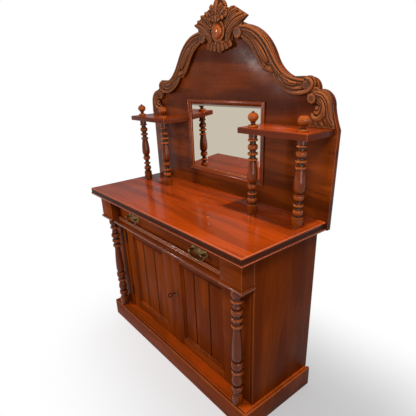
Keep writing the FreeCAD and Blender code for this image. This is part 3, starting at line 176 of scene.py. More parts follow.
CORNER_SCROLL = [
    [(512, 482, 9, 12), (540, 480, 13, 15), (564, 466, 16, 16), (579, 445, 16, 16), (585, 420, 15, 15),
     (590, 396, 13, 14), (600, 378, 9, 12), (606, 370, 6, 10)],
    [(528, 470, 7, 13), (548, 463, 11, 17), (562, 447, 13, 18), (567, 426, 13, 18), (560, 406, 12, 17), (545, 394, 11, 16),
     (527, 393, 9, 15), (514, 401, 7, 13), (511, 412, 5, 11)],
    [(534, 456, 6, 13), (547, 447, 9, 15), (551, 432, 9, 16), (545, 418, 8, 15), (531, 412, 7, 14), (521, 418, 5, 12)],
    [(533, 431, 9, 5), (533, 431, 9, 14), (533, 431, 6, 17)],
    [(566, 400, 10, 13), (580, 383, 10, 12), (592, 368, 7, 9)],
    [(548, 390, 10, 12), (557, 376, 10, 11), (564, 366, 7, 8)],
    [(529, 387, 10, 11), (533, 374, 10, 10), (535, 366, 7, 8)],
    [(512, 388, 9, 9), (509, 376, 9, 9), (506, 367, 6, 7)],
    [(508, 464, 23, 3), (508, 464, 23, 16), (508, 464, 15, 20)],
]
CORNER_VEINS = [
    [(530, 483), (556, 476), (576, 456), (583, 428), (588, 402), (600, 382)],
    [(544, 472), (562, 459), (574, 438), (574, 412), (580, 394)],
    [(536, 466), (553, 456), (560, 436), (554, 414), (538, 402), (520, 404)],
    [(545, 440), (540, 424), (526, 418)],
    [(571, 394), (584, 372)], [(558, 392), (568, 370)], [(541, 386), (548, 369)], [(522, 384), (522, 369)],
    [(520, 448), (532, 446), (543, 440)],
]

# the right half of the cartouche over the middle, then its ribs on the middle line
CREST_HALF = [
    # lobes of the tall leaf, then its lower edge, which curls forward
    [(6, 790, 14, 23), (22, 814, 15, 29), (36, 830, 12, 26)],
    [(8, 784, 14, 23), (36, 801, 14, 28), (56, 812, 11, 24)],
    [(8, 780, 13, 23), (38, 787, 13, 27), (63, 791, 10, 23)],
    [(12, 790, 11, 28), (17, 776, 11, 33), (19, 770, 7, 31)],
    [(24, 790, 10, 27), (38, 781, 10, 31), (45, 777, 7, 28)],
    # the side of the body, which flows into the leaf
    [(56, 690, 16, 14), (60, 712, 17, 16), (76, 737, 19, 18), (108, 754, 18, 19), (140, 766, 12, 18), (168, 773, 4, 16)],
    [(52, 742, 16, 15), (80, 766, 17, 19), (108, 779, 13, 20), (144, 784, 6, 17)],
    [(50, 756, 15, 14), (72, 780, 15, 18), (96, 796, 12, 19), (119, 802, 6, 16)],
    [(52, 770, 11, 14), (66, 790, 12, 17), (80, 806, 10, 18), (88, 814, 6, 16)],
    [(84, 722, 9, 13), (112, 734, 10, 15), (130, 742, 8, 15), (144, 750, 5, 13)],
    # the frill at the foot
    [(20, 690, 11, 16), (26, 672, 13, 18), (28, 657, 11, 15)],
    [(40, 692, 11, 15), (50, 676, 13, 17), (55, 662, 11, 14)],
    [(58, 698, 11, 14), (70, 682, 13, 16), (79, 669, 10, 13)],
]
CREST_MIDDLE = [
    [(0, 774, 16, 22), (0, 806, 18, 28), (0, 832, 16, 29), (0, 847, 10, 25)],
    [(0, 792, 12, 29), (0, 776, 12, 34), (0, 766, 7, 31)],
    [(0, 690, 11, 16), (0, 672, 13, 18), (0, 655, 11, 15)],
]
CREST_VEINS = [
    [(0, 790), (0, 840)], [(6, 792), (20, 814), (30, 832)], [(10, 786), (32, 802), (50, 814)],
    [(12, 780), (34, 787), (56, 793)], [(11, 800), (12, 824), (14, 842)], [(20, 796), (26, 812), (40, 824)],
    [(24, 786), (40, 794), (54, 804)],
    [(0, 783), (0, 768)], [(9, 786), (9, 772)], [(19, 784), (22, 772)], [(30, 784), (34, 776)],
    [(62, 716), (82, 738), (118, 756), (160, 771)], [(66, 712), (88, 729), (116, 745), (146, 761)],
    [(56, 728), (78, 752), (108, 768), (140, 778)], [(54, 740), (76, 764), (104, 782), (128, 790)],
    [(52, 752), (72, 776), (92, 793), (114, 801)], [(52, 764), (66, 786), (78, 802), (86, 812)],
    [(86, 716), (112, 728), (134, 742)],
    [(48, 712), (46, 696), (40, 682)], [(60, 706), (60, 690), (64, 674)], [(32, 702), (28, 690), (14, 672)],
    [(26, 690), (27, 660)], [(47, 690), (53, 664)], [(66, 694), (77, 670)],
]
CABOCHON = (733, 31, 15, 22)         # height over the top, radius, bulge and how far its middle is out
CABOCHON_RING = (38, 7, 19)          # radius to the middle of the ring, its own radius, out


def profile(members, height):
    """Heights and radii in metres from a table of members, stretched to the height."""
    share = height / sum(member[1] for member in members)
    rings = [(0.0, members[0][2] * MM)]
    for kind, tall, radius, *bulge in members[1:]:
        z, r = rings[-1]
        steps = max(2, min(10, int(tall / 1.6))) if kind != "straight" else 1
        for n in range(1, steps + 1):
            t = n / steps
            if kind == "round":
                now = r + (radius * MM - r) * math.sqrt(max(0.0, 1 - (2 * t - 1) ** 2))
            elif kind == "swell":
                now = r + (radius * MM - r) * t + bulge[0] * MM * 4 * t * (1 - t)
            else:
                now = r + (radius * MM - r) * t
            rings.append((z + tall * share * t, now))
    return rings


# ---------------------------------------------------------------- modelling aids

def fresh():
    """Nothing selected, object mode, so that the next operator acts on its own piece."""
    if bpy.context.object and bpy.context.object.mode != "OBJECT":
        bpy.ops.object.mode_set(mode="OBJECT")
    bpy.ops.object.select_all(action="DESELECT")


def settle(piece, name, smooth=35.0):
    """Ends edit mode, puts the piece's place in its mesh and shades it by the angle of its edges."""
    if piece.mode == "EDIT":
        bpy.ops.object.mode_set(mode="OBJECT")
    piece.name = name
    piece.data.name = name
    bpy.ops.object.transform_apply(location=True, rotation=True, scale=True)
    bpy.ops.object.shade_smooth_by_angle(angle=math.radians(smooth))
    return piece


def close_up():
    """Merges doubles in edit mode and turns every face outwards."""
    bpy.ops.mesh.select_all(action="SELECT")
    bpy.ops.mesh.remove_doubles(threshold=0.00001)
    bpy.ops.mesh.normals_make_consistent(inside=False)


def lathe(name, place, members, height, sides):
    """A turned piece: a disc at its foot, extruded ring by ring and scaled to each radius."""
    fresh()
    rings = profile(members, height)
    bpy.ops.mesh.primitive_circle_add(vertices=sides, radius=rings[0][1], fill_type="NGON", location=place)
    piece = bpy.context.object
    bpy.ops.object.mode_set(mode="EDIT")
    bpy.ops.mesh.select_all(action="SELECT")
    for (low, was), (high, now) in zip(rings, rings[1:]):
        bpy.ops.mesh.extrude_region_move(TRANSFORM_OT_translate={"value": (0, 0, high - low)})
        bpy.ops.transform.resize(value=(now / was, now / was, 1), center_override=place)
    close_up()
    settle(piece, name)
    mark_turned(piece, place)
    return piece


def mark_turned(piece, place, reach=0.012, depth=0.0035):
    """The hollow attribute of a turned piece: 0 on its beads, 1 in its coves, for a painted highlight on the beads and
    painted shade in the coves.
    """
    mesh = piece.data
    places = np.empty(len(mesh.vertices) * 3)
    mesh.vertices.foreach_get("co", places)
    places = places.reshape(-1, 3) - np.array(place)
    radius = np.hypot(places[:, 0], places[:, 1])
    rings = np.unique(np.round(np.stack([places[:, 2], radius]), 6), axis=1)
    rings = rings[:, rings[1] > 0.0001]
    heights = np.arange(rings[0].min(), rings[0].max(), 0.0005)
    outline = np.interp(heights, rings[0], rings[1])
    span = int(reach / 0.0005)
    padded = np.pad(outline, span, mode="edge")
    around = np.convolve(padded, np.ones(2 * span + 1) / (2 * span + 1), mode="valid")
    low = np.interp(places[:, 2], heights, around) - radius
    mask = mesh.attributes.new("hollow", "FLOAT", "POINT")
    mask.data.foreach_set("value", np.clip(0.5 + low / (2 * depth), 0, 1).astype(np.float32))


def copied(piece, name, move=None):
    """A copy with its own mesh, moved by a matrix."""
    twin = piece.copy()
    twin.data = piece.data.copy()
    twin.name = name
    twin.data.name = name
    bpy.context.scene.collection.objects.link(twin)
    if move is not None:
        twin.data.transform(move)
        if move.determinant() < 0:
            twin.data.flip_normals()
    return twin


MIRROR_X = Matrix.Scale(-1, 4, (1, 0, 0))


def solids_of(mesh):
    """Runs of polygons that close, one for each solid of a node."""
    open_edges = set()
    runs = [[]]
    for face in mesh.polygons:
        runs[-1].append(face.index)
        ends = [tuple(round(c, 6) for c in mesh.vertices[v].co) for v in face.vertices]
        for a, b in zip(ends, ends[1:] + ends[:1]):
            if (b, a) in open_edges:
                open_edges.remove((b, a))
            else:
                open_edges.add((a, b))
        if not open_edges:
            runs.append([])
    return runs[:-1]


def loosened(node, name):
    """A copy of a CAD node that rides on nothing yet, each of its solids merged by itself."""
    fresh()
    source = frame["nodes"][node]
    piece = copied(source, name)
    piece.parent = None
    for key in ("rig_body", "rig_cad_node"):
        del piece[key]
    shape = bmesh.new()
    shape.from_mesh(piece.data)
    shape.faces.ensure_lookup_table()
    solids = [[shape.faces[i] for i in run] for run in solids_of(piece.data)]
    for faces in solids:
        corners = list({corner for face in faces for corner in face.verts})
        bmesh.ops.remove_doubles(shape, verts=corners, dist=0.000001)
    shape.to_mesh(piece.data)
    shape.free()
    bpy.context.view_layer.objects.active = piece
    piece.select_set(True)
    return piece


def mark_edges(mesh, painted_narrow_shade, reeded, narrow=0.0045):
    """Face attributes: edge is 1 on narrow faces at an outer corner (wear and a painted highlight), crease at an inner
    one (painted shade), upward on level tops (painted light).
    """
    shape = bmesh.new()
    shape.from_mesh(mesh)
    edge_layer = shape.faces.layers.float.new("edge")
    crease_layer = shape.faces.layers.float.new("crease")
    upward_layer = shape.faces.layers.float.new("upward")
    for face in shape.faces:
        sides = [(side.calc_length(), side.calc_face_angle_signed(0.0)) for side in face.edges]
        longest = max(length for length, _angle in sides)
        width = face.calc_area() / longest
        turn = sum(length * angle for length, angle in sides) / longest
        sharpest = min(angle for length, angle in sides if length > longest / 2)
        face[edge_layer] = 1.0 if width < narrow / 3 and turn > math.radians(30) else 0.0
        inner = turn < math.radians(-30) or sharpest < math.radians(-50)
        face[crease_layer] = 1.0 if width < narrow and inner else 0.0
        face[upward_layer] = 1.0 if face.normal.z > 0.9 else 0.0
        # Painted shade on the narrow faces of door panels and mouldings that don't face the front.
        if painted_narrow_shade and width < narrow and abs(face.normal.y) < 0.97:
            face[edge_layer] = 0.0
            face[crease_layer] = 1.0
        # Painted highlight on the crests of the reeds and painted shade on their flanks.
        if reeded and width < narrow:
            face[edge_layer] = 1.0 if abs(face.normal.y) > 0.8 else 0.0
            face[crease_layer] = 1.0 - face[edge_layer]
    shape.to_mesh(mesh)
    shape.free()


# the moulded edge of the top, from its surface down: rounded arris, grooves, and the part of the bead that gets a
# painted highlight
ROUNDED = 7.0
GROOVES = (12.0, 17.0, 22.0)
BEAD = (26.5, 31.0)


def mark_top_edge(mesh):
    """Face attributes of the top's edge: a painted highlight on the bead and the rounded arris, painted shade in and
    between the grooves.
    """
    edge = mesh.attributes["edge"].data
    crease = mesh.attributes["crease"].data
    for face in mesh.polygons:
        below = (TOP - face.center.z) / MM
        steep = abs(face.normal.z) < 0.6
        if steep and ROUNDED < below < BEAD[0]:
            edge[face.index].value = 0.0
            crease[face.index].value = 1.0 if min(abs(below - groove) for groove in GROOVES) < 1.6 else 0.5
        elif below < ROUNDED:
            edge[face.index].value = 1.0 if 0.5 < face.normal.z < 0.95 else 0.0
        else:
            edge[face.index].value = 1.0 if steep and below < BEAD[1] else 0.0


def eased(node, width, dissolve=1.0, painted_narrow_shade=False, reeded=False):
    """A copy of a CAD node with its arrises eased, which stands for the node."""
    source = frame["nodes"][node]
    piece = loosened(node, node + "_eased")
    bpy.ops.object.mode_set(mode="EDIT")
    bpy.ops.mesh.select_all(action="SELECT")
    bpy.ops.mesh.dissolve_limited(angle_limit=math.radians(dissolve))
    bpy.ops.object.mode_set(mode="OBJECT")
    shape = bmesh.new()
    shape.from_mesh(piece.data)
    weight = shape.edges.layers.float.new("bevel_weight_edge")
    for side in shape.edges:
        side[weight] = 1.0 if side.calc_face_angle_signed(0.0) > math.radians(40) else 0.0
    shape.to_mesh(piece.data)
    shape.free()
    bevel = piece.modifiers.new("Eased arrises", "BEVEL")
    bevel.width = width
    bevel.segments = 2
    bevel.limit_method = "WEIGHT"
    bevel.use_clamp_overlap = True
    bpy.ops.object.modifier_apply(modifier=bevel.name)
    bpy.ops.object.shade_smooth_by_angle(angle=math.radians(30))
    mark_edges(piece.data, painted_narrow_shade, reeded)
    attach(piece, source["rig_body"])
    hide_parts(node)
    return piece


def bars(name, ribs, flat=0.5, finish=2):
    """Flattened bars that taper smoothly through their stations, joined into one mesh."""
    fresh()
    line = bpy.data.curves.new(name, "CURVE")
    line.dimensions = "3D"
    line.bevel_depth = MM
    line.bevel_resolution = finish
    line.resolution_u = 2 * finish
    line.use_fill_caps = True
    for stations in ribs:
        spline = line.splines.new("NURBS")
        spline.points.add(len(stations) - 1)
        for point, (x, z, radius, out) in zip(spline.points, stations):
            point.co = (x * MM, BOARD_FACE - out * MM / flat, TOP + z * MM, 1)
            point.radius = radius
        spline.order_u = min(3, len(stations))
        spline.use_endpoint_u = True
    piece = bpy.data.objects.new(name, line)
    bpy.context.scene.collection.objects.link(piece)
    bpy.context.view_layer.objects.active = piece
    piece.select_set(True)
    bpy.ops.object.convert(target="MESH")
    bpy.ops.object.mode_set(mode="EDIT")
    bpy.ops.mesh.select_all(action="SELECT")
    bpy.ops.transform.resize(value=(1, flat, 1), center_override=(0, BOARD_FACE, 0))
    close_up()
    bpy.ops.object.mode_set(mode="OBJECT")
    return bpy.context.object


def gouge(piece, veins, width, depth):
    """Cuts shallow grooves along the veins into the front of a carving."""
    mesh = piece.data
    places = np.empty(len(mesh.vertices) * 3)
    mesh.vertices.foreach_get("co", places)
    places = places.reshape(-1, 3)
    across = places[:, [0, 2]]
    near = np.full(len(places), 1.0)
    for vein in veins:
        points = [np.array((x * MM, TOP + z * MM)) for x, z in vein]
        for a, b in zip(points, points[1:]):
            along = np.clip((across - a) @ (b - a) / ((b - a) @ (b - a)), 0, 1)
            near = np.minimum(near, np.linalg.norm(across - a - along[:, None] * (b - a), axis=1))
    cut = np.clip(1 - near / width, 0, 1)
    front = np.clip((BOARD_FACE - 6 * MM - places[:, 1]) / (4 * MM), 0, 1)
    places[:, 1] += depth * cut * cut * (3 - 2 * cut) * front
    mesh.vertices.foreach_set("co", places.ravel())
    mesh.update()


def painted_relief_light(piece, reach=18, depth=0.0009):
    """A mask for painted light on a carving: 0 on its raised parts for a painted highlight, half on its open faces, 1
    in its recesses for painted shade.
    """
    mesh = piece.data
    count = len(mesh.vertices)
    places = np.empty(count * 3)
    mesh.vertices.foreach_get("co", places)
    out = BOARD_FACE - places.reshape(-1, 3)[:, 1]
    ends = np.empty(len(mesh.edges) * 2, dtype=np.int32)
    mesh.edges.foreach_get("vertices", ends)
    a, b = ends.reshape(-1, 2).T
    neighbours = np.bincount(a, minlength=count) + np.bincount(b, minlength=count)
    around = out
    for _ in range(reach):
        total = np.bincount(a, around[b], count) + np.bincount(b, around[a], count)
        around = total / np.maximum(1, neighbours)
    mask = mesh.attributes.new("hollow", "FLOAT", "POINT")
    low = np.clip(0.5 + (around - out) / (2 * depth), 0, 1)
    # Painted shade: the nearer a point lies to the board, the darker.
    ground = np.clip((11 * MM - out) / (8 * MM), 0, 0.9)
    mask.data.foreach_set("value", np.where(out < 0.5 * MM, 0.5, np.maximum(low, ground)).astype(np.float32))


def carved(name, node, ribs, veins, share, grain=0.0014):
    """A carving: ribs on a ground of the node's own outline, grown together, cut flat at the back and veined."""
    relief = bars(name, ribs)
    ground = loosened(node, name + "_ground")
    bpy.ops.object.mode_set(mode="EDIT")
    bpy.ops.mesh.select_all(action="SELECT")
    bpy.ops.transform.resize(value=(1, share, 1), center_override=(0, BOARD_FACE, 0))
    bpy.ops.object.mode_set(mode="OBJECT")
    relief.select_set(True)
    bpy.context.view_layer.objects.active = relief
    bpy.ops.object.join()
    grown = relief.modifiers.new("Grown together", "REMESH")
    grown.mode = "VOXEL"
    grown.voxel_size = grain
    bpy.ops.object.modifier_apply(modifier=grown.name)
    worn = relief.modifiers.new("Worn smooth", "SMOOTH")
    worn.factor = 0.5
    worn.iterations = 2
    bpy.ops.object.modifier_apply(modifier=worn.name)
    bpy.ops.object.mode_set(mode="EDIT")
    bpy.ops.mesh.select_all(action="SELECT")
    bpy.ops.mesh.bisect(plane_co=(0, BOARD_FACE, 0), plane_no=(0, 1, 0), use_fill=True, clear_outer=True)
    close_up()
    settle(relief, name, 60.0)
    gouge(relief, veins, 0.0030, 0.0022)
    # Mask for the painted highlight and painted shade of the relief.
    painted_relief_light(relief)
    return relief


def dress(piece, material, body=None, replaces=()):
    """Gives a piece its finish, its body and the nodes that it stands for."""
    piece.data.materials.clear()
    piece.data.materials.append(material)
    if body:
        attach(piece, body)
    if replaces:
        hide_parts(*replaces)
    return piece


# ---------------------------------------------------------------- shared effects

def node_group(name, inputs, outputs):
    """An empty shader group with its sockets: inputs are (name, kind, default), outputs (name, kind)."""
    group = bpy.data.node_groups.new(name, "ShaderNodeTree")
    for label, kind, default in inputs:
        socket = group.interface.new_socket(label, in_out="INPUT", socket_type="NodeSocket" + kind)
        if default is not None:
            socket.default_value = default
    for label, kind in outputs:
        group.interface.new_socket(label, in_out="OUTPUT", socket_type="NodeSocket" + kind)
    return group, group.nodes.new("NodeGroupInput"), group.nodes.new("NodeGroupOutput")


def add(tree, kind, links=None, **values):
    """A node with its properties set and its inputs linked or valued."""
    node = tree.nodes.new("ShaderNode" + kind)
    for key, value in values.items():
        setattr(node, key, value)
    for key, source in (links or {}).items():
        socket = node.inputs[key]
        if isinstance(source, bpy.types.NodeSocket):
            tree.links.new(source, socket)
        else:
            socket.default_value = source
    return node


def math_node(tree, operation, a, b=None, clamp=False):
    """Result of a Math node."""
    links = {0: a} if b is None else {0: a, 1: b}
    return add(tree, "Math", links, operation=operation, use_clamp=clamp).outputs[0]


def mixed(tree, factor, a, b, blend="MIX"):
    """Result of a colour mix."""
    node = add(tree, "Mix", data_type="RGBA", blend_type=blend)
    for key, source in ((0, factor), (6, a), (7, b)):
        if isinstance(source, bpy.types.NodeSocket):
            tree.links.new(source, node.inputs[key])
        else:
            node.inputs[key].default_value = source
    return node.outputs[2]


def ranged(tree, value, low, high, to_low=0.0, to_high=1.0):
    """A value's range mapped to another, smoothly and clamped."""
    node = add(tree, "MapRange", {0: value, 1: low, 2: high, 3: to_low, 4: to_high}, interpolation_type="SMOOTHSTEP")
    return node.outputs[0]


def grain_group():
    """Wood grain along X: broad figure, growth lines and fine pores."""
    group, start, end = node_group(
        "Cedar grain",
        [("Vector", "Vector", None), ("Figure", "Float", 1.0)],
        [("Figure", "Float"), ("Lines", "Float"), ("Pores", "Float")],
    )
    stretched = add(group, "Mapping", {0: start.outputs["Vector"], 3: (0.55, 5.0, 5.0)}).outputs[0]
    broad = add(group, "TexNoise", {0: stretched, "Scale": 1.6, "Detail": 4.0, "Roughness": 0.55, "Distortion": 0.6})
    rings = math_node(group, "MULTIPLY", broad.outputs[0], 46.0)
    wave = math_node(group, "SINE", rings)
    lines = math_node(group, "MULTIPLY_ADD", wave, 0.5)
    group.nodes[-1].inputs[2].default_value = 0.5
    fibre = add(group, "Mapping", {0: start.outputs["Vector"], 3: (5.0, 260.0, 260.0)}).outputs[0]
    pores = add(group, "TexNoise", {0: fibre, "Scale": 1.0, "Detail": 3.0, "Roughness": 0.6})
    figure = math_node(group, "MULTIPLY", ranged(group, broad.outputs[0], 0.32, 0.68), start.outputs["Figure"])
    group.links.new(figure, end.inputs["Figure"])
    group.links.new(lines, end.inputs["Lines"])
    group.links.new(ranged(group, pores.outputs[0], 0.35, 0.7), end.inputs["Pores"])
    return group


def wear_group():
    """Patches of old polish: cloudy differences in tone, small dark specks and faint scratches."""
    group, start, end = node_group(
        "Old polish",
        [("Vector", "Vector", None), ("Amount", "Float", 1.0)],
        [("Clouds", "Float"), ("Specks", "Float"), ("Smears", "Float")],
    )
    vector = start.outputs["Vector"]
    clouds = add(group, "TexNoise", {0: vector, "Scale": 3.2, "Detail": 3.0, "Roughness": 0.5})
    specks = add(group, "TexNoise", {0: vector, "Scale": 95.0, "Detail": 2.0, "Roughness": 0.5})
    smears = add(group, "TexNoise", {0: vector, "Scale": 9.0, "Detail": 6.0, "Roughness": 0.7})
    for label, node, low, high in (("Clouds", clouds, 0.35, 0.7), ("Specks", specks, 0.68, 0.76),
                                   ("Smears", smears, 0.42, 0.75)):
        value = math_node(group, "MULTIPLY", ranged(group, node.outputs[0], low, high), start.outputs["Amount"])
        group.links.new(value, end.inputs[label])
    return group


# ---------------------------------------------------------------- finishes

def new_material(name):
    """A node material and its Principled shader."""
    material = bpy.data.materials.new(name)
    material.use_nodes = True
    return material, material.node_tree, material.node_tree.nodes["Principled BSDF"]


def use(tree, group, vector, **values):
    """A group placed in a material."""
    node = add(tree, "Group", node_tree=group)
    tree.links.new(vector, node.inputs["Vector"])
    for key, value in values.items():
        node.inputs[key].default_value = value
    return node


TURN_TO = {"X": (0, 0, 0), "Y": (0, 0, math.radians(90)), "Z": (0, math.radians(90), 0)}


# Painted highlight colour for the raised parts of turnings and carvings, and painted shade colour for creases and
# recesses.
RIDGE_HIGHLIGHT = (0.44, 0.100, 0.012, 1)
PAINTED_SHADE = (0.020, 0.007, 0.003, 1)


def cedar(name, groups, along, light, dark, roughness=0.36, coat=0.02, figure=1.0,
          offset=(0, 0, 0), painted_relief_light=0.0, gloss=0.03, beside=None, ridge_highlight=RIDGE_HIGHLIGHT, worn=(0.45, 0.13, 0.05, 1)):
    """Polished cedar with its grain along one axis, with painted highlights on edges and raised parts and painted
    shade in creases and recesses.
    """
    material, tree, shader = new_material(name)
    place = add(tree, "TexCoord").outputs["Object"]
    turned = add(tree, "Mapping", {0: place, 1: offset, 2: TURN_TO[along]}, vector_type="POINT").outputs[0]
    grain = use(tree, groups["grain"], turned, Figure=figure)
    polish = use(tree, groups["wear"], place, Amount=1.0)
    colour = mixed(tree, grain.outputs["Figure"], dark, light)
    lines = math_node(tree, "MULTIPLY", grain.outputs["Lines"], 0.30)
    colour = mixed(tree, lines, colour, [c * 0.62 for c in dark[:3]] + [1])
    pores = math_node(tree, "MULTIPLY", grain.outputs["Pores"], 0.28)
    colour = mixed(tree, pores, colour, [c * 0.45 for c in dark[:3]] + [1])
    clouds = math_node(tree, "MULTIPLY", polish.outputs["Clouds"], 0.30)
    colour = mixed(tree, clouds, colour, [c * 0.8 for c in dark[:3]] + [1])
    specks = math_node(tree, "MULTIPLY", polish.outputs["Specks"], 0.5)
    colour = mixed(tree, specks, colour, [c * 0.25 for c in dark[:3]] + [1])
    # Painted light and shade: level faces keep the colour above and the other faces take the beside colour, as light
    # from above would fall on them.
    if beside:
        upward = add(tree, "Attribute", attribute_name="upward").outputs["Fac"]
        colour = mixed(tree, upward, mixed(tree, grain.outputs["Pores"], beside, [c * 0.8 for c in beside[:3]] + [1]), colour)
    # Edges take the worn colour: wear and a painted highlight.
    edge = add(tree, "Attribute", attribute_name="edge").outputs["Fac"]
    rubbed = math_node(tree, "MULTIPLY", edge, math_node(tree, "MULTIPLY_ADD", polish.outputs["Smears"], 0.15))
    tree.nodes[-2].inputs[2].default_value = 0.42
    colour = mixed(tree, rubbed, colour, worn)
    # Painted shade in creases and inner corners.
    crease = add(tree, "Attribute", attribute_name="crease").outputs["Fac"]
    colour = mixed(tree, math_node(tree, "MULTIPLY", crease, 0.88), colour, PAINTED_SHADE)
    # Painted highlight on raised parts and painted shade in recesses, from the hollow attribute.
    if painted_relief_light:
        depth = add(tree, "Attribute", attribute_name="hollow").outputs["Fac"]
        ridge = math_node(tree, "MULTIPLY", ranged(tree, depth, 0.45, 0.05), painted_relief_light)
        colour = mixed(tree, ridge, colour, ridge_highlight)
        colour = mixed(tree, ranged(tree, depth, 0.54, 1.0, 0.0, 0.85), colour, PAINTED_SHADE)
    tree.links.new(colour, shader.inputs["Base Color"])
    smear = math_node(tree, "MULTIPLY_ADD", polish.outputs["Smears"], 0.16)
    tree.nodes[-1].inputs[2].default_value = roughness
    tree.links.new(smear, shader.inputs["Roughness"])
    shader.inputs["Specular IOR Level"].default_value = gloss
    shader.inputs["Coat Weight"].default_value = coat
    if beside:
        tree.links.new(math_node(tree, "MULTIPLY", upward, coat), shader.inputs["Coat Weight"])
    shader.inputs["Coat Roughness"].default_value = 0.08
    height = math_node(tree, "MULTIPLY_ADD", grain.outputs["Pores"], -0.5)
    tree.nodes[-1].inputs[2].default_value = 0.5
    bump = add(tree, "Bump", {"Height": height, "Strength": 0.10, "Distance": 0.0004})
    tree.links.new(bump.outputs[0], shader.inputs["Normal"])
    return material


def pine(groups):
    """Bare softwood for the parts that are out of sight."""
    material, tree, shader = new_material("Bare pine")
    place = add(tree, "TexCoord").outputs["Object"]
    turned = add(tree, "Mapping", {0: place, 2: TURN_TO["Z"]}).outputs[0]
    grain = use(tree, groups["grain"], turned, Figure=1.0)
    colour = mixed(tree, grain.outputs["Figure"], (0.27, 0.16, 0.075, 1), (0.40, 0.26, 0.13, 1))
    lines = math_node(tree, "MULTIPLY", grain.outputs["Lines"], 0.35)
    colour = mixed(tree, lines, colour, (0.20, 0.11, 0.05, 1))
    tree.links.new(colour, shader.inputs["Base Color"])
    shader.inputs["Roughness"].default_value = 0.72
    return material


def brass(groups):
    """Old brass, bright on the rubbed parts and brown in between."""
    material, tree, shader = new_material("Old brass")
    place = add(tree, "TexCoord").outputs["Object"]
    polish = use(tree, groups["wear"], place, Amount=1.0)
    colour = mixed(tree, polish.outputs["Smears"], (0.33, 0.20, 0.075, 1), (0.06, 0.034, 0.016, 1))
    tree.links.new(colour, shader.inputs["Base Color"])
    shader.inputs["Metallic"].default_value = 1.0
    rough = math_node(tree, "MULTIPLY_ADD", polish.outputs["Smears"], 0.3)
    tree.nodes[-1].inputs[2].default_value = 0.3
    tree.links.new(rough, shader.inputs["Roughness"])
    return material


def iron(groups):
    """Dark steel of the key, lock and bolt."""
    material, tree, shader = new_material("Dark steel")
    place = add(tree, "TexCoord").outputs["Object"]
    polish = use(tree, groups["wear"], place, Amount=1.0)
    colour = mixed(tree, polish.outputs["Smears"], (0.055, 0.042, 0.033, 1), (0.02, 0.013, 0.009, 1))
    tree.links.new(colour, shader.inputs["Base Color"])
    shader.inputs["Metallic"].default_value = 1.0
    shader.inputs["Roughness"].default_value = 0.55
    return material


def silvering():
    """Silvered plate glass."""
    material, tree, shader = new_material("Silvered glass")
    height = add(tree, "SeparateXYZ", {0: add(tree, "TexCoord").outputs["Object"]}).outputs["Z"]
    leaning = add(tree, "Bump", {"Height": height, "Strength": 1.0, "Distance": 0.05})
    tree.links.new(leaning.outputs[0], shader.inputs["Normal"])
    # The warm colour is the tint of old silvering and, in part, a painted reflection of a beige room.
    shader.inputs["Base Color"].default_value = (0.92, 0.82, 0.66, 1)
    shader.inputs["Metallic"].default_value = 1.0
    shader.inputs["Roughness"].default_value = 0.015
    return material


MATERIALS = {}


def make_materials(colours):
    """Every finish, by its short name."""
    groups = {"grain": grain_group(), "wear": wear_group()}
    light = tuple(colours.light)
    dark = tuple(colours.dark)
    MATERIALS.update({
        "along": cedar("Cedar, grain across", groups, "X", light, dark),
        "upright": cedar("Cedar, grain upright", groups, "Z", light, dark, offset=(0.3, 0.7, 0)),
        "deep": cedar("Cedar, grain to the back", groups, "Y", light, dark),
        # Level tops and the ledge: the lighter colour on level faces and the beside colour on the others are painted
        # light and shade; the worn colours on edges here and in the moulded finish are wear and a painted highlight.
        "top": cedar("Cedar top", groups, "X", tuple(colours.top), [c * 0.42 for c in colours.top[:3]] + [1],
                     roughness=0.2, coat=0.5, offset=(0, 0.37, 0), gloss=0.1, beside=(0.10, 0.018, 0.006, 1), worn=(0.55, 0.13, 0.055, 1)),
        "moulded": cedar("Moulded cedar", groups, "X", light, dark, roughness=0.2, coat=0.3, gloss=0.4,
                         worn=(0.50, 0.15, 0.065, 1)),
        "ledge": cedar("Cedar ledge", groups, "X", tuple(colours.top), light, roughness=0.26, coat=0.25,
                       gloss=0.1, beside=light),
        "back": cedar("Cedar back", groups, "X", [c * 0.85 for c in light[:3]] + [1],
                      [c * 0.4 for c in dark[:3]] + [1], roughness=0.24, coat=0.0, gloss=0.15),
        # Turned, carved and cabochon finishes: a painted highlight on raised parts and painted shade in recesses.
        "turned": cedar("Turned cedar", groups, "Z", (0.19, 0.032, 0.003, 1), (0.09, 0.014, 0.0012, 1),
                        roughness=0.12, coat=0.5, painted_relief_light=0.42, gloss=0.08),
        "carved": cedar("Carved cedar", groups, "X", tuple(colours.carving), [c * 0.7 for c in colours.carving[:3]] + [1],
                        roughness=0.36, coat=0.04, painted_relief_light=0.65, gloss=0.15, ridge_highlight=(0.27, 0.074, 0.019, 1)),
        "cabochon": cedar("Cabochon", groups, "X", (0.33, 0.066, 0.006, 1), (0.20, 0.038, 0.004, 1),
                          roughness=0.14, coat=0.35, figure=0.5, painted_relief_light=0.15, gloss=0.2),
        "pine": pine(groups),
        "brass": brass(groups),
        "iron": iron(groups),
        "mirror": silvering(),
    })


# ---------------------------------------------------------------- what a user can change

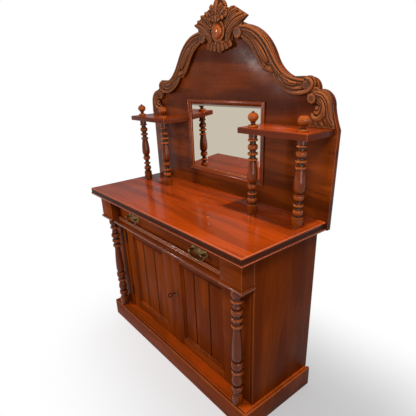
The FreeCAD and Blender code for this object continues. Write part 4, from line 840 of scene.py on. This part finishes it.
class ChiffonierFinish(bpy.types.PropertyGroup):
    """Colours and eased edges of the chiffonier."""

    light: bpy.props.FloatVectorProperty(
        name="Light cedar", description="Colour of the wood between the grain lines", subtype="COLOR", size=4,
        min=0, max=1, default=(0.215, 0.037, 0.0025, 1))
    dark: bpy.props.FloatVectorProperty(
        name="Dark cedar", description="Colour of the grain and the shaded polish", subtype="COLOR", size=4,
        min=0, max=1, default=(0.115, 0.017, 0.0012, 1))
    # The level faces of the top, the shelves and the ledge take this lighter colour: painted light from above.
    top: bpy.props.FloatVectorProperty(
        name="Top", description="Lighter colour of the top board", subtype="COLOR", size=4,
        min=0, max=1, default=(0.43, 0.052, 0.003, 1))
    carving: bpy.props.FloatVectorProperty(
        name="Carving", description="Duller colour of the carved pieces", subtype="COLOR", size=4,
        min=0, max=1, default=(0.100, 0.030, 0.010, 1))
    arris: bpy.props.FloatProperty(
        name="Eased arris", description="Width of the softened edges of the boards", unit="LENGTH",
        min=0.0002, max=0.004, default=0.0012)
    sides: bpy.props.IntProperty(
        name="Turning sides", description="Sides of a turned piece", min=16, max=128, default=64)


class Piece:
    """What every operator of the chiffonier shares."""

    bl_options = {"REGISTER", "UNDO"}

    def finish(self, context):
        """The chiffonier's settings."""
        return context.scene.chiffonier


# nodes that keep their shape, with the finish of each
EASED = {
    "top_board": "top", "plinth_frame": "along", "drawer_front": "along", "drawer_moulding": "moulded",
    "drawer_rail": "moulded", "frieze_blocks": "along", "block_mouldings": "moulded", "pilasters": "upright",
    "side_left": "upright", "side_right": "upright", "backboard": "back", "base_board": "ledge",
    "side_shelf_left": "top", "side_shelf_right": "top", "mirror_frame": "moulded",
    "door_left_stiles": "upright", "door_right_stiles": "upright", "door_left_rails": "along",
    "door_right_rails": "along", "door_left_panel": "upright", "door_right_panel": "upright",
    "door_left_moulding": "upright", "door_right_moulding": "upright",
}

KEPT = {
    "pine": ["back_boards", "back_uprights", "carcass_rails", "drawer_runners", "drawer_box",
             "drawer_bottom", "inner_shelf", "shelf_bearers", "mirror_back"],
    "brass": ["escutcheon"],
    "iron": ["lock_bolt", "lock_case", "door_bolt", "door_bolt_case", "hinge_leaves_fixed",
             "door_left_hinge_leaves", "door_right_hinge_leaves"],
    "mirror": ["mirror_glass"],
}


class CHIFFONIER_OT_boards(Piece, bpy.types.Operator):
    """Boards and mouldings with their arrises eased"""

    bl_idname = "chiffonier.boards"
    bl_label = "Boards"

    def execute(self, context):
        for node, finish in EASED.items():
            arris = self.finish(context).arris
            # Door panels and mouldings get painted shade on their narrow faces, and the drawer moulding gets painted
            # highlights and shade on its reeds.
            jointed = node.startswith("door_") and node.endswith(("_panel", "_moulding"))
            piece = eased(node, 2 * arris if jointed else arris, painted_narrow_shade=jointed, reeded=node == "drawer_moulding")
            if node == "top_board":
                mark_top_edge(piece.data)
            dress(piece, MATERIALS[finish])
        return {"FINISHED"}


class CHIFFONIER_OT_inner(Piece, bpy.types.Operator):
    """Finishes of the pieces that keep the frame's own shape"""

    bl_idname = "chiffonier.inner"
    bl_label = "Kept pieces"

    def execute(self, context):
        for finish, nodes in KEPT.items():
            for node in nodes:
                piece = frame["nodes"][node]
                piece.data.materials.clear()
                piece.data.materials.append(MATERIALS[finish])
        return {"FINISHED"}


class CHIFFONIER_OT_columns(Piece, bpy.types.Operator):
    """Turned columns at the front corners"""

    bl_idname = "chiffonier.columns"
    bl_label = "Columns"

    def execute(self, context):
        x, depth = COLUMN_PLACE
        right = lathe("turned_column_right", (x, BOARD_FACE - depth, LEDGE), COLUMN, COLUMN_HEAD - LEDGE,
                      self.finish(context).sides)
        left = copied(right, "turned_column_left", Matrix.Translation((-2 * x, 0, 0)))
        for piece, side in ((right, "right"), (left, "left")):
            dress(piece, MATERIALS["turned"], "carcass", ["column_" + side])
        return {"FINISHED"}


class CHIFFONIER_OT_spindles(Piece, bpy.types.Operator):
    """Four turned spindles and the finials over them"""

    bl_idname = "chiffonier.spindles"
    bl_label = "Spindles and finials"

    def execute(self, context):
        for members, label, foot, head in ((SPINDLE, "spindle", TOP, SHELF_FOOT),
                                           (FINIAL, "finial", SHELF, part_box("finials")[1].z)):
            x, depth = SPINDLE_PLACES[0]
            first = lathe("turned_%s_0" % label, (x, BOARD_FACE - depth, foot), members, head - foot,
                          self.finish(context).sides)
            twins = [first]
            for other, (far, out) in enumerate(((-x, depth), (SPINDLE_PLACES[1][0], SPINDLE_PLACES[1][1]),
                                                (-SPINDLE_PLACES[1][0], SPINDLE_PLACES[1][1])), 1):
                move = Matrix.Translation((far - x, depth - out, 0))
                twins.append(copied(first, "turned_%s_%d" % (label, other), move))
            for piece in twins:
                dress(piece, MATERIALS["cabochon" if label == "finial" else "turned"], "carcass", [label + "s"])
        return {"FINISHED"}


# the bail from its middle to its right end: across from the middle, above the pivot, radius
BAIL = [(0, -29.0, 2.9), (18, -28.6, 2.8), (34, -26.0, 2.6), (47, -17.0, 2.4), (52.5, -7.0, 2.2), (51.5, 0.5, 2.1),
        (44, 1.0, 2.0), (33, 0, 1.9)]
# bosses of a back plate: across, above the pivot, half width, half height, bulge
BOSSES = [(0, -3, 17, 10, 2.6), (0, 11, 8, 6, 1.8), (38.5, 0, 8.5, 8.5, 2.6), (-38.5, 0, 8.5, 8.5, 2.6),
          (21, -1, 6, 5, 1.6), (-21, -1, 6, 5, 1.6)]


class CHIFFONIER_OT_handles(Piece, bpy.types.Operator):
    """Drop handles of the drawer: stamped back plates, posts and bails; and the key"""

    bl_idname = "chiffonier.handles"
    bl_label = "Handles and key"

    def execute(self, context):
        brass = MATERIALS["brass"]
        for node, width in (("handle_plates", 0.0006), ("handle_posts", 0.0008)):
            dress(eased(node, width), brass)
        dress(eased("key", 0.0004), MATERIALS["iron"])
        plate_low, plate_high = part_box("handle_plates")
        pivot = (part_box("handle_posts")[0].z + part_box("handle_posts")[1].z) / 2
        for side in ("left", "right"):
            low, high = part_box("bail_" + side)
            middle = (low.x + high.x) / 2
            stations = [(-x, z, radius) for x, z, radius in reversed(BAIL[1:])] + BAIL
            deep = BOARD_FACE - (low.y + high.y) / 2
            ribs = [[(middle / MM + x, (pivot - TOP) / MM + z, radius, deep / MM) for x, z, radius in stations]]
            bail = settle(bars("turned_bail_" + side, ribs, 1.0, 4), "turned_bail_" + side, 60.0)
            dress(bail, brass, "bail_" + side, ["bail_" + side])
            fresh()
            for number, (x, z, wide, tall, bulge) in enumerate(BOSSES):
                bpy.ops.mesh.primitive_uv_sphere_add(segments=24, ring_count=12, radius=MM,
                                                     location=(middle + x * MM, plate_low.y, pivot + z * MM))
                bpy.ops.object.mode_set(mode="EDIT")
                bpy.ops.mesh.select_all(action="SELECT")
                bpy.ops.transform.resize(value=(wide, bulge, tall))
                close_up()
                boss = settle(bpy.context.object, "boss_%s_%d" % (side, number), 60.0)
                dress(boss, brass, "drawer", ["handle_plates"])
        return {"FINISHED"}


def mirrored(lines):
    """The same ribs or veins on the left."""
    return [[(-x, *rest) for x, *rest in stations] for stations in lines]


def ring(z, reach, radius, out, count=16):
    """Stations of a closed ring round a point of the middle line."""
    turns = [2 * math.pi * n / count for n in range(count + 1)]
    return [(reach * math.cos(a), z + reach * math.sin(a), radius, out) for a in turns]


class CHIFFONIER_OT_scrolls(Piece, bpy.types.Operator):
    """Carved leaf scrolls and corner scrolls on the backboard"""

    bl_idname = "chiffonier.scrolls"
    bl_label = "Carved scrolls"

    def execute(self, context):
        for node, ribs, veins in (("scroll", SCROLL, SCROLL_VEINS), ("corner_scroll", CORNER_SCROLL, CORNER_VEINS)):
            right = carved("carved_%s_right" % node, node + "_right", ribs, veins, 0.45)
            left = copied(right, "carved_%s_left" % node, MIRROR_X)
            for piece, side in ((right, "right"), (left, "left")):
                dress(piece, MATERIALS["carved"], "carcass", [node + "_" + side])
        return {"FINISHED"}


class CHIFFONIER_OT_crest(Piece, bpy.types.Operator):
    """Cartouche of leaves over the middle, with a polished cabochon"""

    bl_idname = "chiffonier.crest"
    bl_label = "Crest"

    def execute(self, context):
        z, radius, bulge, out = CABOCHON
        ribs = CREST_HALF + mirrored(CREST_HALF) + CREST_MIDDLE + [ring(z, *CABOCHON_RING)]
        crest = carved("carved_crest", "crest", ribs, CREST_VEINS + mirrored(CREST_VEINS), 0.42)
        dress(crest, MATERIALS["carved"], "carcass", ["crest"])
        fresh()
        bpy.ops.mesh.primitive_uv_sphere_add(segments=48, ring_count=24, radius=radius * MM,
                                             location=(0, BOARD_FACE - out * MM, TOP + z * MM))
        bpy.ops.object.mode_set(mode="EDIT")
        bpy.ops.mesh.select_all(action="SELECT")
        bpy.ops.transform.resize(value=(0.9, bulge / radius, 1))
        bpy.ops.mesh.select_all(action="SELECT")
        bpy.ops.mesh.bisect(plane_co=(0, BOARD_FACE - (out + bulge * 0.72) * MM, 0), plane_no=(0, -1, 0),
                            use_fill=True, clear_outer=True)
        close_up()
        stone = settle(bpy.context.object, "carved_cabochon")
        dress(stone, MATERIALS["cabochon"], "carcass", ["crest"])
        return {"FINISHED"}


# ---------------------------------------------------------------- stage

CAMERA_PLACE = Vector((1.3834, -1.0119, 1.4200))
CAMERA_YAW = math.radians(52.65)
CAMERA_PITCH = math.radians(-23.29)
CAMERA_ROLL = math.radians(-2.76)
CAMERA_LENS = 32.01
CAMERA_SHIFT = (0.0203, 0.0618)


def camera():
    """A camera that looks from the front right, slightly from above."""
    ahead = Vector((-math.sin(CAMERA_YAW) * math.cos(CAMERA_PITCH), math.cos(CAMERA_YAW) * math.cos(CAMERA_PITCH),
                    math.sin(CAMERA_PITCH)))
    level = Vector((math.cos(CAMERA_YAW), math.sin(CAMERA_YAW), 0))
    above = level.cross(ahead)
    right = level * math.cos(CAMERA_ROLL) + above * math.sin(CAMERA_ROLL)
    up = above * math.cos(CAMERA_ROLL) - level * math.sin(CAMERA_ROLL)
    data = bpy.data.cameras.new("Camera")
    data.sensor_width = 36.0
    data.lens = CAMERA_LENS
    data.shift_x, data.shift_y = CAMERA_SHIFT
    data.clip_end = 50.0
    viewer = bpy.data.objects.new("Camera", data)
    viewer.matrix_world = Matrix.Translation(CAMERA_PLACE) @ Matrix((right, up, -ahead)).transposed().to_4x4()
    bpy.context.scene.collection.objects.link(viewer)
    bpy.context.scene.camera = viewer


def lamp(name, place, target, size, power, colour=(1, 1, 1)):
    """A soft square lamp aimed at a point."""
    data = bpy.data.lights.new(name, "AREA")
    data.shape = "RECTANGLE"
    data.size, data.size_y = size
    data.energy = power
    data.color = colour
    piece = bpy.data.objects.new(name, data)
    piece.location = place
    piece.rotation_euler = (Vector(target) - Vector(place)).to_track_quat("-Z", "Y").to_euler()
    bpy.context.scene.collection.objects.link(piece)
    piece.visible_camera = False
    return piece


FOOTPRINT = (0.593, 0.216, 0)
SHADE_SHIFT = (0.25, -0.04, 0)


def pale(name, colour, lift, near, far):
    """A pale floor whose lift shows only to the camera; it turns plain white from near to far off the base."""
    material, tree, shader = new_material(name)
    shader.inputs["Base Color"].default_value = colour
    shader.inputs["Roughness"].default_value = 0.9
    shader.inputs["Specular IOR Level"].default_value = 0.1
    place = add(tree, "TexCoord").outputs["Object"]
    place = add(tree, "VectorMath", {0: place, 1: SHADE_SHIFT}, operation="SUBTRACT").outputs["Vector"]
    beside = add(tree, "VectorMath", {0: place}, operation="ABSOLUTE").outputs["Vector"]
    beyond = add(tree, "VectorMath", {0: beside, 1: FOOTPRINT}, operation="SUBTRACT").outputs["Vector"]
    outside = add(tree, "VectorMath", {0: beyond, 1: (0, 0, 0)}, operation="MAXIMUM").outputs["Vector"]
    away = add(tree, "VectorMath", {0: outside}, operation="LENGTH").outputs["Value"]
    open_floor = ranged(tree, away, near, far)
    path = add(tree, "LightPath")
    mirrored_floor = math_node(tree, "MULTIPLY", path.outputs["Is Glossy Ray"], 0.62)
    seen = math_node(tree, "MAXIMUM", path.outputs["Is Camera Ray"], mirrored_floor)
    glow = add(tree, "Emission", {"Color": (1, 1, 1, 1), "Strength": math_node(tree, "MULTIPLY", seen, lift)})
    white = add(tree, "Emission", {"Color": (1, 1, 1, 1), "Strength": seen})
    raised = add(tree, "AddShader", {0: shader.outputs[0], 1: glow.outputs[0]})
    final = add(tree, "MixShader", {0: open_floor, 1: raised.outputs[0], 2: white.outputs[0]})
    tree.links.new(final.outputs[0], tree.nodes["Material Output"].inputs["Surface"])
    return material


class CHIFFONIER_OT_stage(Piece, bpy.types.Operator):
    """Pale floor, soft lamps and the camera"""

    bl_idname = "chiffonier.stage"
    bl_label = "Stage"

    def execute(self, context):
        fresh()
        bpy.ops.mesh.primitive_plane_add(size=30, location=(0, 0, 0))
        floor = bpy.context.object
        floor.name = "floor"
        floor.data.materials.append(pale("Pale floor", (0.80, 0.80, 0.80, 1), 0.40, 0.0, 0.7))
        world = bpy.data.worlds.new("Studio")
        world.use_nodes = True
        tree = world.node_tree
        tree.nodes.clear()
        path = tree.nodes.new("ShaderNodeLightPath")
        seen = tree.nodes.new("ShaderNodeBackground")
        seen.inputs[0].default_value = (1, 1, 1, 1)
        soft = tree.nodes.new("ShaderNodeBackground")
        soft.inputs[0].default_value = (0.93, 0.96, 1.0, 1)
        soft.inputs[1].default_value = 0.26
        mix = tree.nodes.new("ShaderNodeMixShader")
        out = tree.nodes.new("ShaderNodeOutputWorld")
        seen_ray = tree.nodes.new("ShaderNodeMath")
        seen_ray.operation = "MAXIMUM"
        tree.links.new(path.outputs["Is Camera Ray"], seen_ray.inputs[0])
        tree.links.new(path.outputs["Is Transmission Ray"], seen_ray.inputs[1])
        tree.links.new(seen_ray.outputs[0], mix.inputs[0])
        tree.links.new(soft.outputs[0], mix.inputs[1])
        tree.links.new(seen.outputs[0], mix.inputs[2])
        tree.links.new(mix.outputs[0], out.inputs[0])
        context.scene.world = world
        overhead = lamp("Overhead", (0.77, 0.05, 2.8), (0.2, 0, 0.86), (0.08, 0.08), 47.0, (1.0, 0.95, 0.88))
        window = lamp("Window", (-2.4, -3.0, 1.5), (0, 0, 0.7), (1.4, 1.4), 112.0)
        front = lamp("Front", (1.15, -1.0, 1.9), (0.5, -0.2, 0.8), (0.4, 0.4), 19.0, (1.0, 0.96, 0.9))
        right = lamp("Right", (3.2, -1.3, 1.2), (0, 0, 0.7), (1.8, 1.4), 31.0)
        glint = lamp("Glint", (-2.29, -2.6, 1.86), (0, 0, 1.4), (0.45, 0.35), 19.0)
        for piece in (overhead, window, front):
            piece.visible_glossy = False
        others = bpy.data.collections.new("Not the floor")
        others.objects.link(floor)
        others.collection_objects[0].light_linking.link_state = "EXCLUDE"
        for piece in (overhead, right, front):
            piece.light_linking.receiver_collection = others
        level = bpy.data.collections.new("Level tops")
        level.objects.link(frame["nodes"]["mirror_glass"])
        for node in ("top_board", "side_shelf_left", "side_shelf_right"):
            level.objects.link(bpy.data.objects[node + "_eased"])
        for shaded in level.collection_objects:
            shaded.light_linking.link_state = "EXCLUDE"
        glint.light_linking.receiver_collection = level
        view = context.scene.view_settings
        view.view_transform = "Standard"
        camera()
        return {"FINISHED"}


class CHIFFONIER_PT_panel(bpy.types.Panel):
    """Every step of the chiffonier and what a user can change"""

    bl_label = "Chiffonier"
    bl_idname = "CHIFFONIER_PT_panel"
    bl_space_type = "VIEW_3D"
    bl_region_type = "UI"
    bl_category = "Chiffonier"

    def draw(self, context):
        settings = context.scene.chiffonier
        for name in ("light", "dark", "top", "carving", "arris", "sides"):
            self.layout.prop(settings, name)
        for step in STEPS:
            self.layout.operator(step.bl_idname)


STEPS = (CHIFFONIER_OT_boards, CHIFFONIER_OT_inner, CHIFFONIER_OT_columns, CHIFFONIER_OT_spindles,
         CHIFFONIER_OT_scrolls, CHIFFONIER_OT_crest, CHIFFONIER_OT_handles, CHIFFONIER_OT_stage)
CLASSES = (ChiffonierFinish, *STEPS, CHIFFONIER_PT_panel)


def register():
    """Makes the operators, the panel and the settings known."""
    for kind in CLASSES:
        bpy.utils.register_class(kind)
    bpy.types.Scene.chiffonier = bpy.props.PointerProperty(type=ChiffonierFinish)


def unregister():
    """Takes them away again."""
    del bpy.types.Scene.chiffonier
    for kind in reversed(CLASSES):
        bpy.utils.unregister_class(kind)


def main():
    """Builds everything in order."""
    register()
    make_materials(bpy.context.scene.chiffonier)
    bpy.ops.chiffonier.boards()
    bpy.ops.chiffonier.inner()
    bpy.ops.chiffonier.columns()
    bpy.ops.chiffonier.spindles()
    bpy.ops.chiffonier.scrolls()
    bpy.ops.chiffonier.crest()
    bpy.ops.chiffonier.handles()
    bpy.ops.chiffonier.stage()
    fresh()


if __name__ == "__main__":
    main()
